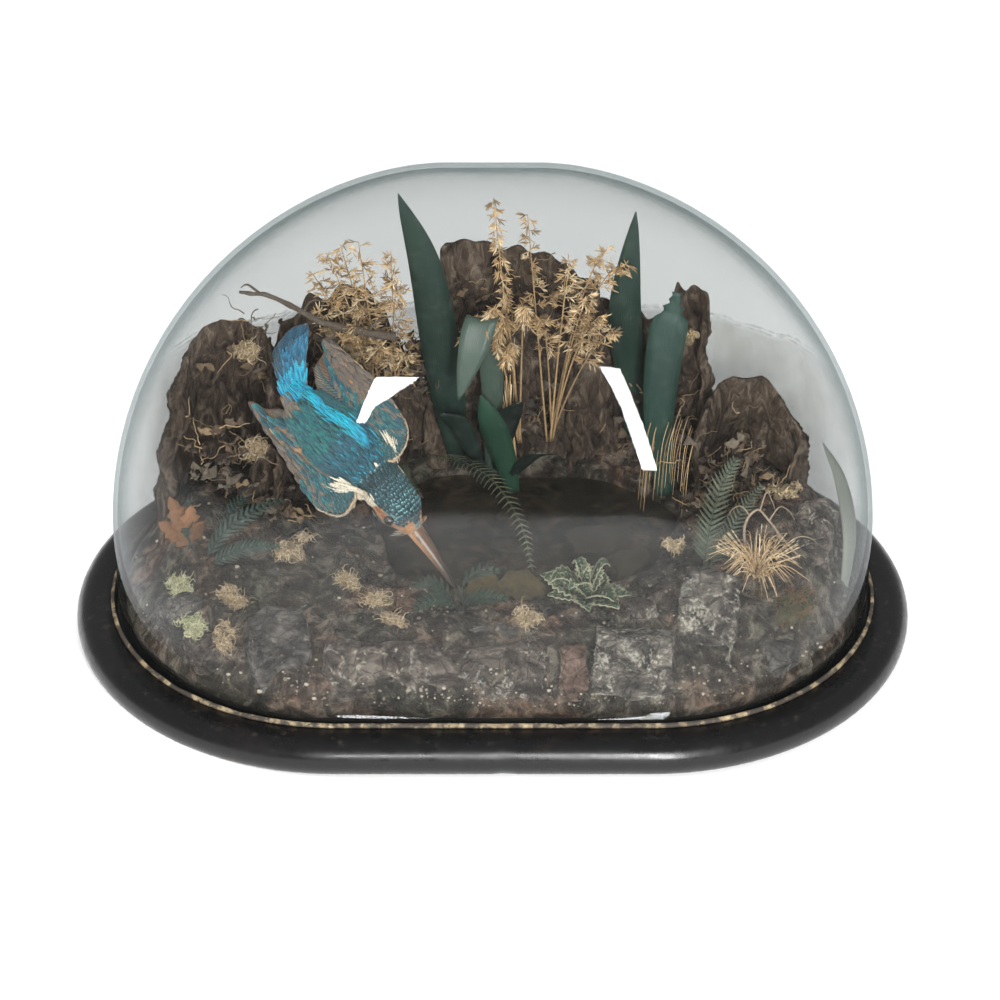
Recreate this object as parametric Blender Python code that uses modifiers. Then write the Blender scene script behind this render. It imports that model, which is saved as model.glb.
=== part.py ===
"""A taxidermy kingfisher that dives at a pond, under an oval glass dome on a black plinth.

The origin is at the middle of the plinth's underside. +X runs along the case, +Y to its
back and +Z up. Lengths named below are in millimetres, and MM turns them into metres.
"""
import math

import bmesh
import bpy
from mathutils import Matrix, Vector, noise

MM = 0.001
GAP = 0.3
CASE_NAME = "kingfisher_case"

# Plinth, dome and the strip round the dome's foot. Their plan is a stadium.
HALF_STRAIGHT = 75.0
DOME_END_RADIUS = 113.4
GLASS = 3.0
DOME_FOOT_Z = 16.5
DOME_SPRING_Z = 57.6
DOME_RISE = 192.4
PLINTH_END_RADIUS = 134.8
PLINTH_HEIGHT = 18.5
GROOVE_WIDTH = 5.0
STRIP_WIDTH = 1.6
STRIP_HEIGHT = 1.5
ROUND_STEPS = 32
NOSE_STEPS = 6
DOME_STEPS = 6

# Groundwork and pond.
BED_CLEARANCE = 0.8
LEAF_THICKNESS = 0.9
POND_CENTRE = (15.0, 16.0)
POND_HALF = (77.0, 63.0)
POND_SQUARENESS = 0.82
POND_FLOOR_Z = 32.6
PANE_Z = 36.4
PANE_THICKNESS = 1.8
GROUND_LIFT = 0.45
BANK_Z = 46.0
RIM_Z = 24.0
BED_RINGS = (0.0, 0.06, 0.26, 0.48, 0.70, 0.88, 1.0)

# The bird: its line from the tail's tip to the bill's tip.
SPINE = {
    "tail_tip": (-100.0, 44.3, 142.9),
    "tail_mid": (-99.4, 27.7, 133.8),
    "rump": (-96.5, 12.4, 123.0),
    "loin": (-88.0, 4.8, 116.7),
    "back": (-75.2, -1.5, 106.8),
    "mantle": (-62.6, -6.0, 96.3),
    "neck": (-54.3, -9.6, 86.9),
    "head": (-46.0, -13.3, 75.7),
    "face": (-39.2, -16.4, 65.4),
    "bill_tip": (-18.5, -30.5, 38.2),
}
BODY_LINE = ("rump", "loin", "back", "mantle", "neck", "head", "face")
# Half width and half depth of the body at each point of BODY_LINE.
BODY_HALF = (
    (8.6, 5.5), (14.0, 12.0), (17.5, 16.5), (16.0, 15.5), (11.8, 12.5), (11.6, 12.8), (6.8, 7.4),
)
# Turn of the back about the line, towards the bird's left, in degrees.
BODY_ROLL = (12.0, 14.0, 15.0, 17.0, 22.0, 28.0, 30.0)
TOWARDS_BACK = Vector((0.0, -0.8406, 0.5417))
TRUNK_END = 0.56
NECK_END = 0.74
BODY_SIDES = 14
EYE_RADIUS = 2.4
# Points round a wing's section: place from its leading edge, and the face it lies on.
VANE_SECTION = (
    (0.0, 0), (0.12, 1), (0.35, 1), (0.68, 1), (1.0, 0), (0.68, -1), (0.35, -1), (0.12, -1),
)
# Sections of the tail: place along it, half width and depth.
TAIL_SECTIONS = (
    (0.04, 8.6, 4.6), (0.3, 9.6, 3.0), (0.55, 10.4, 1.9),
    (0.8, 10.2, 1.1), (0.94, 8.0, 0.9), (1.0, 4.0, 0.7),
)
BILL_HALF_WIDTH = 4.7
BILL_DEPTH = 5.4

COLOURS = {
    "ebonised_wood": ((0.012, 0.011, 0.011), 0.32),
    "gilt_paper": ((0.42, 0.33, 0.20), 0.7),
    "dome_glass": ((0.80, 0.84, 0.83), 0.05),
    "pond_glass": ((0.05, 0.05, 0.045), 0.2),
    "groundwork": ((0.075, 0.065, 0.055), 0.95),
    "rock": ((0.12, 0.105, 0.09), 0.95),
    "bark": ((0.06, 0.045, 0.035), 0.95),
    "lichen": ((0.42, 0.33, 0.19), 0.95),
    "moss": ((0.15, 0.10, 0.045), 0.95),
    "green_leaf": ((0.035, 0.075, 0.05), 0.6),
    "dry_grass": ((0.45, 0.30, 0.13), 0.8),
    "fern": ((0.09, 0.11, 0.07), 0.8),
    "rosette_leaf": ((0.12, 0.17, 0.08), 0.7),
    "rust_leaf": ((0.22, 0.10, 0.05), 0.8),
    "mount_wire": ((0.08, 0.07, 0.06), 0.5),
    "plumage": ((0.02, 0.20, 0.26), 0.6),
    "bill_horn": ((0.30, 0.14, 0.06), 0.4),
    "eye_glass": ((0.01, 0.008, 0.006), 0.05),
    "leg_skin": ((0.45, 0.09, 0.04), 0.5),
}


def clear_scene():
    """Remove every object, mesh, curve and material."""
    for obj in list(bpy.data.objects):
        bpy.data.objects.remove(obj, do_unlink=True)
    for group in (bpy.data.meshes, bpy.data.curves, bpy.data.materials, bpy.data.collections):
        for item in list(group):
            group.remove(item)


def new_collection(name):
    """A new collection under the scene."""
    collection = bpy.data.collections.new(name)
    bpy.context.scene.collection.children.link(collection)
    return collection


clear_scene()
PARTS = new_collection(CASE_NAME)
CUTTERS = new_collection("cutters")


def make_material(piece, finish):
    """Give a piece a material of its own in a named finish."""
    colour, roughness = COLOURS[finish]
    material = bpy.data.materials.new(f"{finish}.{piece.name}")
    material.use_nodes = True
    shader = material.node_tree.nodes["Principled BSDF"]
    shader.inputs["Base Color"].default_value = (*colour, 1.0)
    shader.inputs["Roughness"].default_value = roughness
    if finish == "dome_glass":
        shader.inputs["Transmission Weight"].default_value = 1.0
    piece.data.materials.append(material)


def piece_from(name, build, finish, collection=None):
    """Turn a bmesh in millimetres into a named object in metres."""
    bmesh.ops.scale(build, vec=(MM, MM, MM), verts=build.verts)
    mesh = bpy.data.meshes.new(name)
    build.to_mesh(mesh)
    build.free()
    mesh.shade_smooth()
    piece = bpy.data.objects.new(name, mesh)
    (collection or PARTS).objects.link(piece)
    if finish:
        make_material(piece, finish)
    return piece


def loft(rings, close_start=True, close_end=True):
    """Join rings of points, each with the same count, into a closed tube."""
    build = bmesh.new()
    loops = [[build.verts.new(point) for point in ring] for ring in rings]
    count = len(loops[0])
    for lower, upper in zip(loops, loops[1:]):
        for i in range(count):
            j = (i + 1) % count
            build.faces.new((lower[i], lower[j], upper[j], upper[i]))
    if close_start:
        build.faces.new(reversed(loops[0]))
    if close_end:
        build.faces.new(loops[-1])
    bmesh.ops.recalc_face_normals(build, faces=build.faces)
    return build


def solidify(piece, thickness, offset=-1.0):
    """Give an open surface a thickness, in millimetres."""
    shell = piece.modifiers.new("shell", "SOLIDIFY")
    shell.thickness = thickness * MM
    shell.offset = offset
    shell.use_even_offset = True


def evaluated_bmesh(piece):
    """The piece's mesh with its modifiers, as a bmesh in metres."""
    bpy.context.view_layer.update()
    graph = bpy.context.evaluated_depsgraph_get()
    build = bmesh.new()
    build.from_mesh(piece.evaluated_get(graph).to_mesh())
    build.transform(piece.matrix_world)
    return build


def carve(piece, neighbour, gap=GAP):
    """Cut a piece back from its neighbour, which is swollen by the gap for that."""
    build = evaluated_bmesh(neighbour)
    build.normal_update()
    for vert in build.verts:
        vert.co += vert.normal * vert.calc_shell_factor() * gap * MM
    mesh = bpy.data.meshes.new(f"swollen_{neighbour.name}")
    build.to_mesh(mesh)
    build.free()
    cutter = bpy.data.objects.new(f"cut_{piece.name}_by_{neighbour.name}", mesh)
    CUTTERS.objects.link(cutter)
    cut_with(piece, cutter)


def cut_with(piece, cutter):
    """Take a cutter's volume out of a piece."""
    cutter.hide_render = True
    cutter.display_type = "WIRE"
    boolean = piece.modifiers.new(f"cut_{cutter.name}"[:60], "BOOLEAN")
    boolean.operation = "DIFFERENCE"
    boolean.solver = "EXACT"
    boolean.object = cutter


def drop_offcuts(piece):
    """Apply a piece's modifiers and keep only its largest body."""
    build = evaluated_bmesh(piece)
    waiting = set(build.verts)
    bodies = []
    while waiting:
        body = set()
        edge = [waiting.pop()]
        while edge:
            vert = edge.pop()
            body.add(vert)
            near = {e.other_vert(vert) for e in vert.link_edges} & waiting
            waiting -= near
            edge.extend(near)
        bodies.append(body)
    keep = max(bodies, key=len)
    bmesh.ops.delete(build, geom=[v for v in build.verts if v not in keep], context="VERTS")
    bmesh.ops.remove_doubles(build, verts=build.verts, dist=0.002 * MM)
    loose = [e for e in build.edges if not e.link_faces]
    bmesh.ops.delete(build, geom=loose, context="EDGES")
    piece.modifiers.clear()
    build.to_mesh(piece.data)
    build.free()


# ---------------------------------------------------------------- case

def stadium_reach(angle, end_radius, half_straight=HALF_STRAIGHT):
    """Distance from the middle to a stadium's edge in one direction."""
    across = abs(math.sin(angle))
    along = abs(math.cos(angle))
    if end_radius * along <= half_straight * across:
        return end_radius / across
    return half_straight * along + math.sqrt(end_radius ** 2 - (half_straight * across) ** 2)


def stadium_ring(end_radius, z, scale=1.0):
    """A stadium outline at one height, as points."""
    ring = []
    for i in range(ROUND_STEPS):
        angle = 2.0 * math.pi * i / ROUND_STEPS
        reach = stadium_reach(angle, end_radius) * scale
        ring.append(Vector((reach * math.cos(angle), reach * math.sin(angle), z)))
    return ring


def make_plinth():
    """The black plinth: a full round edge, and a groove for the dome's foot."""
    nose = PLINTH_HEIGHT / 2.0
    centre_radius = PLINTH_END_RADIUS - nose
    profile = []
    for step in range(NOSE_STEPS + 1):
        angle = math.pi * (step / NOSE_STEPS - 0.5)
        profile.append((centre_radius + nose * math.cos(angle), nose + nose * math.sin(angle)))
    groove_mid = DOME_END_RADIUS - GLASS / 2.0
    floor_z = DOME_FOOT_Z - GAP
    profile.append((groove_mid + GROOVE_WIDTH / 2.0, PLINTH_HEIGHT))
    profile.append((groove_mid + GROOVE_WIDTH / 2.0, floor_z))
    profile.append((groove_mid - GROOVE_WIDTH / 2.0, floor_z))
    profile.append((groove_mid - GROOVE_WIDTH / 2.0, PLINTH_HEIGHT))
    rings = [stadium_ring(radius, z) for radius, z in profile]
    plinth = piece_from("plinth", loft(rings), "ebonised_wood")
    plinth.data.set_sharp_from_angle(angle=math.radians(40.0))
    return plinth


def make_foot_strip():
    """The paper strip that runs round the dome's foot."""
    inner = DOME_END_RADIUS + GROOVE_WIDTH / 2.0
    outer = inner + STRIP_WIDTH
    low = PLINTH_HEIGHT + GAP
    high = low + STRIP_HEIGHT
    rings = [
        stadium_ring(inner, low),
        stadium_ring(outer, low),
        stadium_ring(outer - STRIP_WIDTH / 3.0, high),
        stadium_ring(inner, high),
        stadium_ring(inner, low),
    ]
    build = loft(rings, False, False)
    bmesh.ops.remove_doubles(build, verts=build.verts, dist=0.01)
    bmesh.ops.recalc_face_normals(build, faces=build.faces)
    return piece_from("foot_strip", build, "gilt_paper")


def make_dome():
    """The glass dome: upright walls below, a vault above, open at its foot."""
    rings = [stadium_ring(DOME_END_RADIUS, DOME_FOOT_Z)]
    for step in range(DOME_STEPS):
        angle = 0.5 * math.pi * step / DOME_STEPS
        z = DOME_SPRING_Z + DOME_RISE * math.sin(angle)
        rings.append(stadium_ring(DOME_END_RADIUS, z, math.cos(angle)))
    build = loft(rings, False, False)
    top = build.verts.new((0.0, 0.0, DOME_SPRING_Z + DOME_RISE))
    build.verts.ensure_lookup_table()
    last = build.verts[-1 - ROUND_STEPS:-1]
    for i in range(ROUND_STEPS):
        build.faces.new((last[i], last[(i + 1) % ROUND_STEPS], top))
    bmesh.ops.recalc_face_normals(build, faces=build.faces)
    dome = piece_from("dome_glass", build, "dome_glass")
    solidify(dome, GLASS)
    return dome


# ---------------------------------------------------------------- groundwork

def pond_point(angle, grow=0.0):
    """A point of the pond's outline, with a little wander."""
    wander = 1.0 + 0.05 * math.sin(3.0 * angle + 0.6) + 0.03 * math.sin(7.0 * angle)
    x = math.copysign(abs(math.cos(angle)) ** POND_SQUARENESS, math.cos(angle))
    y = math.copysign(abs(math.sin(angle)) ** POND_SQUARENESS, math.sin(angle))
    reach_x = POND_HALF[0] * wander + grow
    reach_y = POND_HALF[1] * wander + grow
    return Vector((POND_CENTRE[0] + reach_x * x, POND_CENTRE[1] + reach_y * y, 0.0))


def bump(x, y, centre, spread, height):
    """A soft hill in the ground's height."""
    away = ((x - centre[0]) / spread[0]) ** 2 + ((y - centre[1]) / spread[1]) ** 2
    return height * math.exp(-away)


def ground_height(x, y, outward):
    """Height of the bank at a place; outward runs from the pond's edge, 0, to the rim, 1."""
    height = BANK_Z + 6.0 * min(1.0, outward * 2.5)
    height += bump(x, y, (-138.0, 10.0), (45.0, 60.0), 9.0)
    height += bump(x, y, (146.0, 8.0), (40.0, 55.0), 11.0)
    height += bump(x, y, (0.0, 96.0), (150.0, 18.0), 6.0)
    height += 2.5 * noise.noise(Vector((x, y, 3.0)) / 16.0)
    fall = max(0.0, (outward - 0.70) / 0.30)
    return height + (RIM_Z - height) * fall ** 1.6


def ground_rings():
    """The ground's rings of points, from the pond's edge to the rim."""
    rings = []
    edge = DOME_END_RADIUS - GLASS - BED_CLEARANCE
    for outward in BED_RINGS:
        ring = []
        for i in range(ROUND_STEPS):
            angle = 2.0 * math.pi * i / ROUND_STEPS
            reach = stadium_reach(angle, edge)
            rim = Vector((reach * math.cos(angle), reach * math.sin(angle), 0.0))
            point = pond_point(angle).lerp(rim, outward)
            point.z = ground_height(point.x, point.y, outward)
            ring.append(point)
        rings.append(ring)
    return rings


def floor_ring(inset, z):
    """A ring on the pond's floor."""
    ring = []
    for i in range(ROUND_STEPS):
        point = pond_point(2.0 * math.pi * i / ROUND_STEPS, -inset)
        ring.append(Vector((point.x, point.y, z)))
    return ring


def make_ground():
    """The groundwork from the pond's floor over the banks to the rim, with a flat underside."""
    rings = ground_rings()
    bottom = [Vector((p.x, p.y, PLINTH_HEIGHT + GAP)) for p in rings[-1]]
    build = loft([floor_ring(1.5, POND_FLOOR_Z)] + rings + [bottom])
    bmesh.ops.triangulate(build, faces=build.faces, quad_method="FIXED")
    return piece_from("ground_bed", build, "groundwork")


def make_ground_cutter():
    """The groundwork again, raised a little and taken out past the rim, to cut what stands on it."""
    rings = ground_rings()
    lifted = [[point + Vector((0.0, 0.0, GROUND_LIFT)) for point in ring] for ring in rings]
    skirt = [Vector((1.08 * p.x, 1.08 * p.y, p.z)) for p in lifted[-1]]
    bottom = [Vector((p.x, p.y, 0.0)) for p in skirt]
    build = loft([floor_ring(2.0, POND_FLOOR_Z + GROUND_LIFT)] + lifted + [skirt, bottom])
    bmesh.ops.triangulate(build, faces=build.faces, quad_method="FIXED")
    return piece_from("ground_cutter", build, "", CUTTERS)


def make_pane():
    """The pond: a pane of old glass that lies in the hollow."""
    low = [pond_point(2.0 * math.pi * i / ROUND_STEPS, -3.0) for i in range(ROUND_STEPS)]
    rings = []
    for z in (PANE_Z - PANE_THICKNESS, PANE_Z):
        rings.append([Vector((p.x, p.y, z)) for p in low])
    pane = piece_from("pond_pane", loft(rings), "pond_glass")
    pane.data.set_sharp_from_angle(angle=math.radians(40.0))
    return pane


def roughen(build, amount, size, seed):
    """Push each point in or out by smooth noise."""
    build.normal_update()
    shift = Vector((seed * 7.3, seed * 1.9, seed * 4.1))
    moves = [(v, v.normal * amount * noise.noise(v.co / size + shift)) for v in build.verts]
    for vert, move in moves:
        vert.co += move


def make_rock(name, centre, size, turn, lean, seed):
    """A split block of stone, sunk in the groundwork."""
    build = bmesh.new()
    bmesh.ops.create_cube(build, size=1.0)
    bmesh.ops.subdivide_edges(build, edges=build.edges, cuts=2, use_grid_fill=True)
    for vert in build.verts:
        rounding = 1.0 - 0.10 * (vert.co.length / 0.87) ** 4
        vert.co = Vector(a * b * rounding for a, b in zip(vert.co, size))
    roughen(build, 0.14 * min(size), 0.45 * max(size), seed)
    spin = Matrix.Rotation(math.radians(turn), 4, "Z") @ Matrix.Rotation(math.radians(lean), 4, "X")
    build.transform(Matrix.Translation(centre) @ spin)
    rock = piece_from(name, build, "rock")
    rock.data.set_sharp_from_angle(angle=math.radians(50.0))
    cut_with(rock, GROUND_CUTTER)
    return rock


def make_lump(name, centre, radii, turn, seed, finish):
    """A knobbly cushion of moss or lichen on the ground."""
    build = bmesh.new()
    bmesh.ops.create_icosphere(build, subdivisions=2, radius=1.0)
    for vert in build.verts:
        vert.co = Vector(a * b for a, b in zip(vert.co, radii))
    roughen(build, 0.55 * min(radii), 0.55 * max(radii), seed)
    build.transform(Matrix.Translation(centre) @ Matrix.Rotation(math.radians(turn), 4, "Z"))
    lump = piece_from(name, build, finish)
    cut_with(lump, GROUND_CUTTER)
    return lump


def make_bark_shell(name, centre, radii, heights, arc, taper, thickness, seed, steps=(10, 6)):
    """A sheet of cork bark bent about an upright axis.

    heights are the foot, then the top at the arc's start, middle and end; taper is the
    plan's scale at the top.
    """
    build = bmesh.new()
    foot, top_start, top_mid, top_end = heights
    grid = []
    for row in range(steps[1] + 1):
        rise = row / steps[1]
        line = []
        for column in range(steps[0] + 1):
            along = column / steps[0]
            angle = math.radians(arc[0] + (arc[1] - arc[0]) * along)
            top = (1 - along) * (1 - 2 * along) * top_start
            top += 4 * along * (1 - along) * top_mid + along * (2 * along - 1) * top_end
            scale = 1.0 + (taper - 1.0) * rise ** 2.2
            x = centre[0] + radii[0] * math.cos(angle) * scale
            y = centre[1] + radii[1] * math.sin(angle) * scale
            line.append(build.verts.new((x, y, foot + (top - foot) * rise)))
        grid.append(line)
    for low, high in zip(grid, grid[1:]):
        for i in range(steps[0]):
            build.faces.new((low[i], low[i + 1], high[i + 1], high[i]))
    bmesh.ops.recalc_face_normals(build, faces=build.faces)
    roughen(build, 5.0, 17.0, seed)
    shell = piece_from(name, build, "bark")
    solidify(shell, thickness, 0.0)
    cut_with(shell, GROUND_CUTTER)
    return shell


# ---------------------------------------------------------------- plants

def curve_point(points, along):
    """A point on a smooth curve through the given points."""
    spans = len(points) - 1
    place = min(max(along, 0.0), 1.0) * spans
    i = min(int(place), spans - 1)
    t = place - i
    p1, p2 = Vector(points[i]), Vector(points[i + 1])
    p0 = Vector(points[i - 1]) if i else p1 * 2.0 - p2
    p3 = Vector(points[i + 2]) if i + 2 <= spans else p2 * 2.0 - p1
    bend = (p0 * 2.0 - p1 * 5.0 + p2 * 4.0 - p3) * t * t + (p1 * 3.0 - p0 - p2 * 3.0 + p3) * t ** 3
    return (p1 * 2.0 + (p2 - p0) * t + bend) * 0.5


def make_ribbon(name, points, half_width, across, finish, steps=9, teeth=0.0, widest=0.45):
    """A leaf: a ribbon along a curve, widest part way up, with teeth for a fern's leaflets."""
    build = bmesh.new()
    rows = []
    for i in range(steps + 1):
        along = i / steps
        point = curve_point(points, along)
        ahead = curve_point(points, along + 0.02) - curve_point(points, along - 0.02)
        ahead.normalize()
        side = Vector(across)
        side = (side - ahead * side.dot(ahead)).normalized()
        lift = side.cross(ahead)
        if along < widest:
            shape = 0.45 + 0.55 * math.sin(0.5 * math.pi * along / widest)
        else:
            shape = math.cos(0.5 * math.pi * (along - widest) / (1.0 - widest)) ** 0.8
        if teeth and i % 2:
            shape *= 1.0 - teeth
        width = max(0.12, shape) * half_width
        left = build.verts.new(point - side * width)
        middle = build.verts.new(point + lift * width * 0.18)
        right = build.verts.new(point + side * width)
        rows.append((left, middle, right))
    for low, high in zip(rows, rows[1:]):
        for k in range(2):
            build.faces.new((low[k], low[k + 1], high[k + 1], high[k]))
    ribbon = piece_from(name, build, finish)
    solidify(ribbon, LEAF_THICKNESS, 0.0)
    cut_with(ribbon, GROUND_CUTTER)
    return ribbon


def make_tuft(name, root, base_radius, stems, finish, stem_steps=3):
    """A tuft: tapered stems that grow out of one small clump.

    Each stem is its tip, relative to the root, and how far its middle is lifted.
    """
    build = bmesh.new()
    bmesh.ops.create_icosphere(build, subdivisions=2, radius=base_radius)
    build.faces.ensure_lookup_table()
    taken = set()
    for tip, arch in stems:
        tip = Vector(tip)
        start = Vector((3.0 * tip.x, 3.0 * tip.y, tip.z + 2.5 * arch)).normalized()
        free = [f for f in build.faces if f not in taken and not f.tag]
        face = max(free, key=lambda f: f.normal.dot(start))
        around = {other for v in face.verts for other in v.link_faces}
        taken |= around
        origin = face.calc_center_median()
        for step in range(1, stem_steps + 1):
            along = step / stem_steps
            centre = origin.lerp(tip, along) + Vector((0.0, 0.0, 4.0 * arch * along * (1.0 - along)))
            new = bmesh.ops.extrude_discrete_faces(build, faces=[face])["faces"][0]
            taken |= {new} | {f for e in new.edges for f in e.link_faces}
            shift = centre - new.calc_center_median()
            scale = 0.42 if step == 1 else 0.72
            middle = centre
            for vert in new.verts:
                vert.co += shift
                vert.co = middle + (vert.co - middle) * scale
            face = new
    build.transform(Matrix.Translation(root))
    tuft = piece_from(name, build, finish)
    cut_with(tuft, GROUND_CUTTER)
    return tuft


def make_rosette(name, centre, radius, leaves, seed):
    """A rosette of upturned leaves, as one lobed plate."""
    build = bmesh.new()
    steps = leaves * 4
    rings = []
    for reach in (0.2, 0.6, 1.0):
        ring = []
        for i in range(steps):
            angle = 2.0 * math.pi * i / steps
            lobe = 0.5 + 0.5 * math.cos(leaves * angle)
            long = 0.8 + 0.25 * math.sin(2.0 * angle + seed)
            out = radius * reach * (1.0 - 0.55 * reach * (1.0 - lobe)) * long
            z = 0.42 * radius * reach ** 1.5 * long + 1.5 * lobe * reach
            ring.append(build.verts.new((out * math.cos(angle), out * math.sin(angle), z)))
        rings.append(ring)
    build.faces.new(rings[0])
    for low, high in zip(rings, rings[1:]):
        for i in range(steps):
            j = (i + 1) % steps
            build.faces.new((low[i], high[i], high[j], low[j]))
    bmesh.ops.recalc_face_normals(build, faces=build.faces)
    build.transform(Matrix.Translation(centre) @ Matrix.Rotation(math.radians(14.0), 4, "X"))
    rosette = piece_from(name, build, "rosette_leaf")
    solidify(rosette, 1.0, 1.0)
    cut_with(rosette, GROUND_CUTTER)
    return rosette


def make_rod(name, points, radius, finish, taper=1.0, steps=10):
    """A stick or wire along a curve, as a mesh with closed ends."""
    data = bpy.data.curves.new(name, "CURVE")
    data.dimensions = "3D"
    data.bevel_depth = radius * MM
    data.bevel_resolution = 1
    data.use_fill_caps = True
    spline = data.splines.new("POLY")
    spline.points.add(steps)
    for i in range(steps + 1):
        along = i / steps
        spline.points[i].co = (*(curve_point(points, along) * MM), 1.0)
        spline.points[i].radius = 1.0 + (taper - 1.0) * along
    rod = bpy.data.objects.new(name, data)
    PARTS.objects.link(rod)
    bpy.context.view_layer.update()
    graph = bpy.context.evaluated_depsgraph_get()
    mesh = bpy.data.meshes.new_from_object(rod.evaluated_get(graph))
    bpy.data.objects.remove(rod, do_unlink=True)
    bpy.data.curves.remove(data)
    build = bmesh.new()
    build.from_mesh(mesh)
    bpy.data.meshes.remove(mesh)
    bmesh.ops.remove_doubles(build, verts=build.verts, dist=0.01 * MM)
    bmesh.ops.scale(build, vec=(1.0 / MM,) * 3, verts=build.verts)
    bmesh.ops.recalc_face_normals(build, faces=build.faces)
    return piece_from(name, build, finish)


# ---------------------------------------------------------------- bird

def body_frame(along):
    """Centre, forward, left and back directions, and half sizes, at a place on the body."""
    line = [SPINE[key] for key in BODY_LINE]
    centre = curve_point(line, along)
    forward = (curve_point(line, along + 0.02) - curve_point(line, along - 0.02)).normalized()
    place = along * (len(BODY_LINE) - 1)
    i = min(int(place), len(BODY_LINE) - 2)
    t = place - i
    t = t * t * (3.0 - 2.0 * t)
    width = BODY_HALF[i][0] * (1 - t) + BODY_HALF[i + 1][0] * t
    depth = BODY_HALF[i][1] * (1 - t) + BODY_HALF[i + 1][1] * t
    roll = math.radians(BODY_ROLL[i] * (1 - t) + BODY_ROLL[i + 1] * t)
    left = TOWARDS_BACK.cross(forward).normalized()
    back = forward.cross(left).normalized()
    rolled_back = back * math.cos(roll) + left * math.sin(roll)
    rolled_left = rolled_back.cross(forward).normalized()
    return centre, forward, rolled_left, rolled_back, width, depth


def body_ring(along, shift=0.0, swell=1.0):
    """A ring round the body, a little flatter on the back than on the belly."""
    centre, forward, left, back, width, depth = body_frame(along)
    ring = []
    for i in range(BODY_SIDES):
        angle = 2.0 * math.pi * i / BODY_SIDES
        up = math.sin(angle)
        rise = up * depth * (0.88 if up > 0.0 else 1.06)
        side = math.cos(angle) * width
        ring.append(centre + forward * shift + (left * side + back * rise) * swell)
    return ring


def make_body_length(name, start, end, rings, round_start, round_end):
    """One length of the body, with a flat or a rounded face at each end."""
    loops = []
    if round_start:
        loops.append(body_ring(start, -3.0, 0.45))
        loops.append(body_ring(start, -1.2, 0.82))
    for i in range(rings + 1):
        along = start + (end - start) * i / rings
        shift = 0.0
        if i == 0 and not round_start:
            shift = GAP / 2.0
        if i == rings and not round_end:
            shift = -GAP / 2.0
        loops.append(body_ring(along, shift))
    if round_end:
        loops.append(body_ring(end, 1.0, 0.84))
        loops.append(body_ring(end, 1.8, 0.60))
    return piece_from(name, loft(loops), "plumage")


def bill_sections(upper):
    """Half sections of the bill from its base to its tip."""
    face, forward, left, back, _, _ = body_frame(1.0)
    tip = Vector(SPINE["bill_tip"])
    start = face + forward * (2.1 + GAP)
    sign = 1.0 if upper else -1.0
    rings = []
    for i in range(7):
        along = i / 6.0
        centre = start.lerp(tip, along if upper else along * 0.965)
        centre += back * 1.2 * math.sin(math.pi * along)
        shrink = (1.0 - along) ** 0.75 * 0.93 + 0.07
        half = BILL_HALF_WIDTH * shrink
        deep = BILL_DEPTH * shrink * (0.62 if upper else 0.45)
        split = sign * GAP / 2.0
        ring = [centre + left * half + back * split]
        for k in range(1, 6):
            angle = math.pi * k / 6.0
            rise = sign * (deep * math.sin(angle)) + split
            ring.append(centre + left * half * math.cos(angle) + back * rise)
        ring.append(centre - left * half + back * split)
        rings.append(ring)
    return rings


def make_bill():
    """The two halves of the bill, which meet along the gape."""
    for name, upper in (("bill_upper", True), ("bill_lower", False)):
        half = piece_from(name, loft(bill_sections(upper)), "bill_horn")
        half.data.set_sharp_from_angle(angle=math.radians(60.0))


def eye_centre(side):
    """Centre of an eye; side is 1 for the bird's left and -1 for its right."""
    centre, _, left, back, width, depth = body_frame(0.85)
    return centre + left * side * (width - 1.15) + back * 0.26 * depth


def make_eyes(head):
    """The glass eyes, set in the sides of the head."""
    for name, side in (("eye_left", 1.0), ("eye_right", -1.0)):
        build = bmesh.new()
        bmesh.ops.create_icosphere(build, subdivisions=2, radius=EYE_RADIUS)
        build.transform(Matrix.Translation(eye_centre(side)))
        carve(head, piece_from(name, build, "eye_glass"))


def make_vane_plate(name, leading, trailing, thickness, camber, steps, lift_from):
    """A wing or tail: lens sections from a leading line to a trailing line."""
    rings = []
    for i in range(steps + 1):
        along = i / steps
        front = curve_point(leading, along)
        rear = curve_point(trailing, along)
        chord = rear - front
        ahead = curve_point(leading, along + 0.03) + curve_point(trailing, along + 0.03)
        ahead -= curve_point(leading, along - 0.03) + curve_point(trailing, along - 0.03)
        lift = chord.cross(ahead).normalized()
        if lift.dot(Vector(lift_from)) < 0.0:
            lift = -lift
        thick = thickness[0] + (thickness[1] - thickness[0]) * along ** 0.7
        ring = []
        for u, side in VANE_SECTION:
            bow = camber * chord.length * u * (1.0 - u)
            half = 0.5 * max(0.5, thick * (1.0 - 0.65 * u)) * side
            if u in (0.0, 1.0):
                half = 0.0
            ring.append(front + chord * u + lift * (bow + half))
        rings.append(ring)
    return piece_from(name, loft(rings), "plumage")


def make_tail():
    """The short tail, which fans a little and bends up from the rump."""
    root = Vector(SPINE["rump"])
    middle = Vector(SPINE["tail_mid"])
    tip = Vector(SPINE["tail_tip"])
    _, _, left, back, _, _ = body_frame(0.0)
    rings = []
    for along, half, deep in TAIL_SECTIONS:
        centre = curve_point((root, middle, tip), along)
        ring = []
        for i in range(10):
            angle = 2.0 * math.pi * i / 10
            droop = -0.10 * half * math.cos(angle) ** 2
            rise = deep * 0.5 * math.sin(angle) + droop
            ring.append(centre + left * half * math.cos(angle) + back * rise)
        rings.append(ring)
    return piece_from("tail", loft(rings), "plumage")


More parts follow.
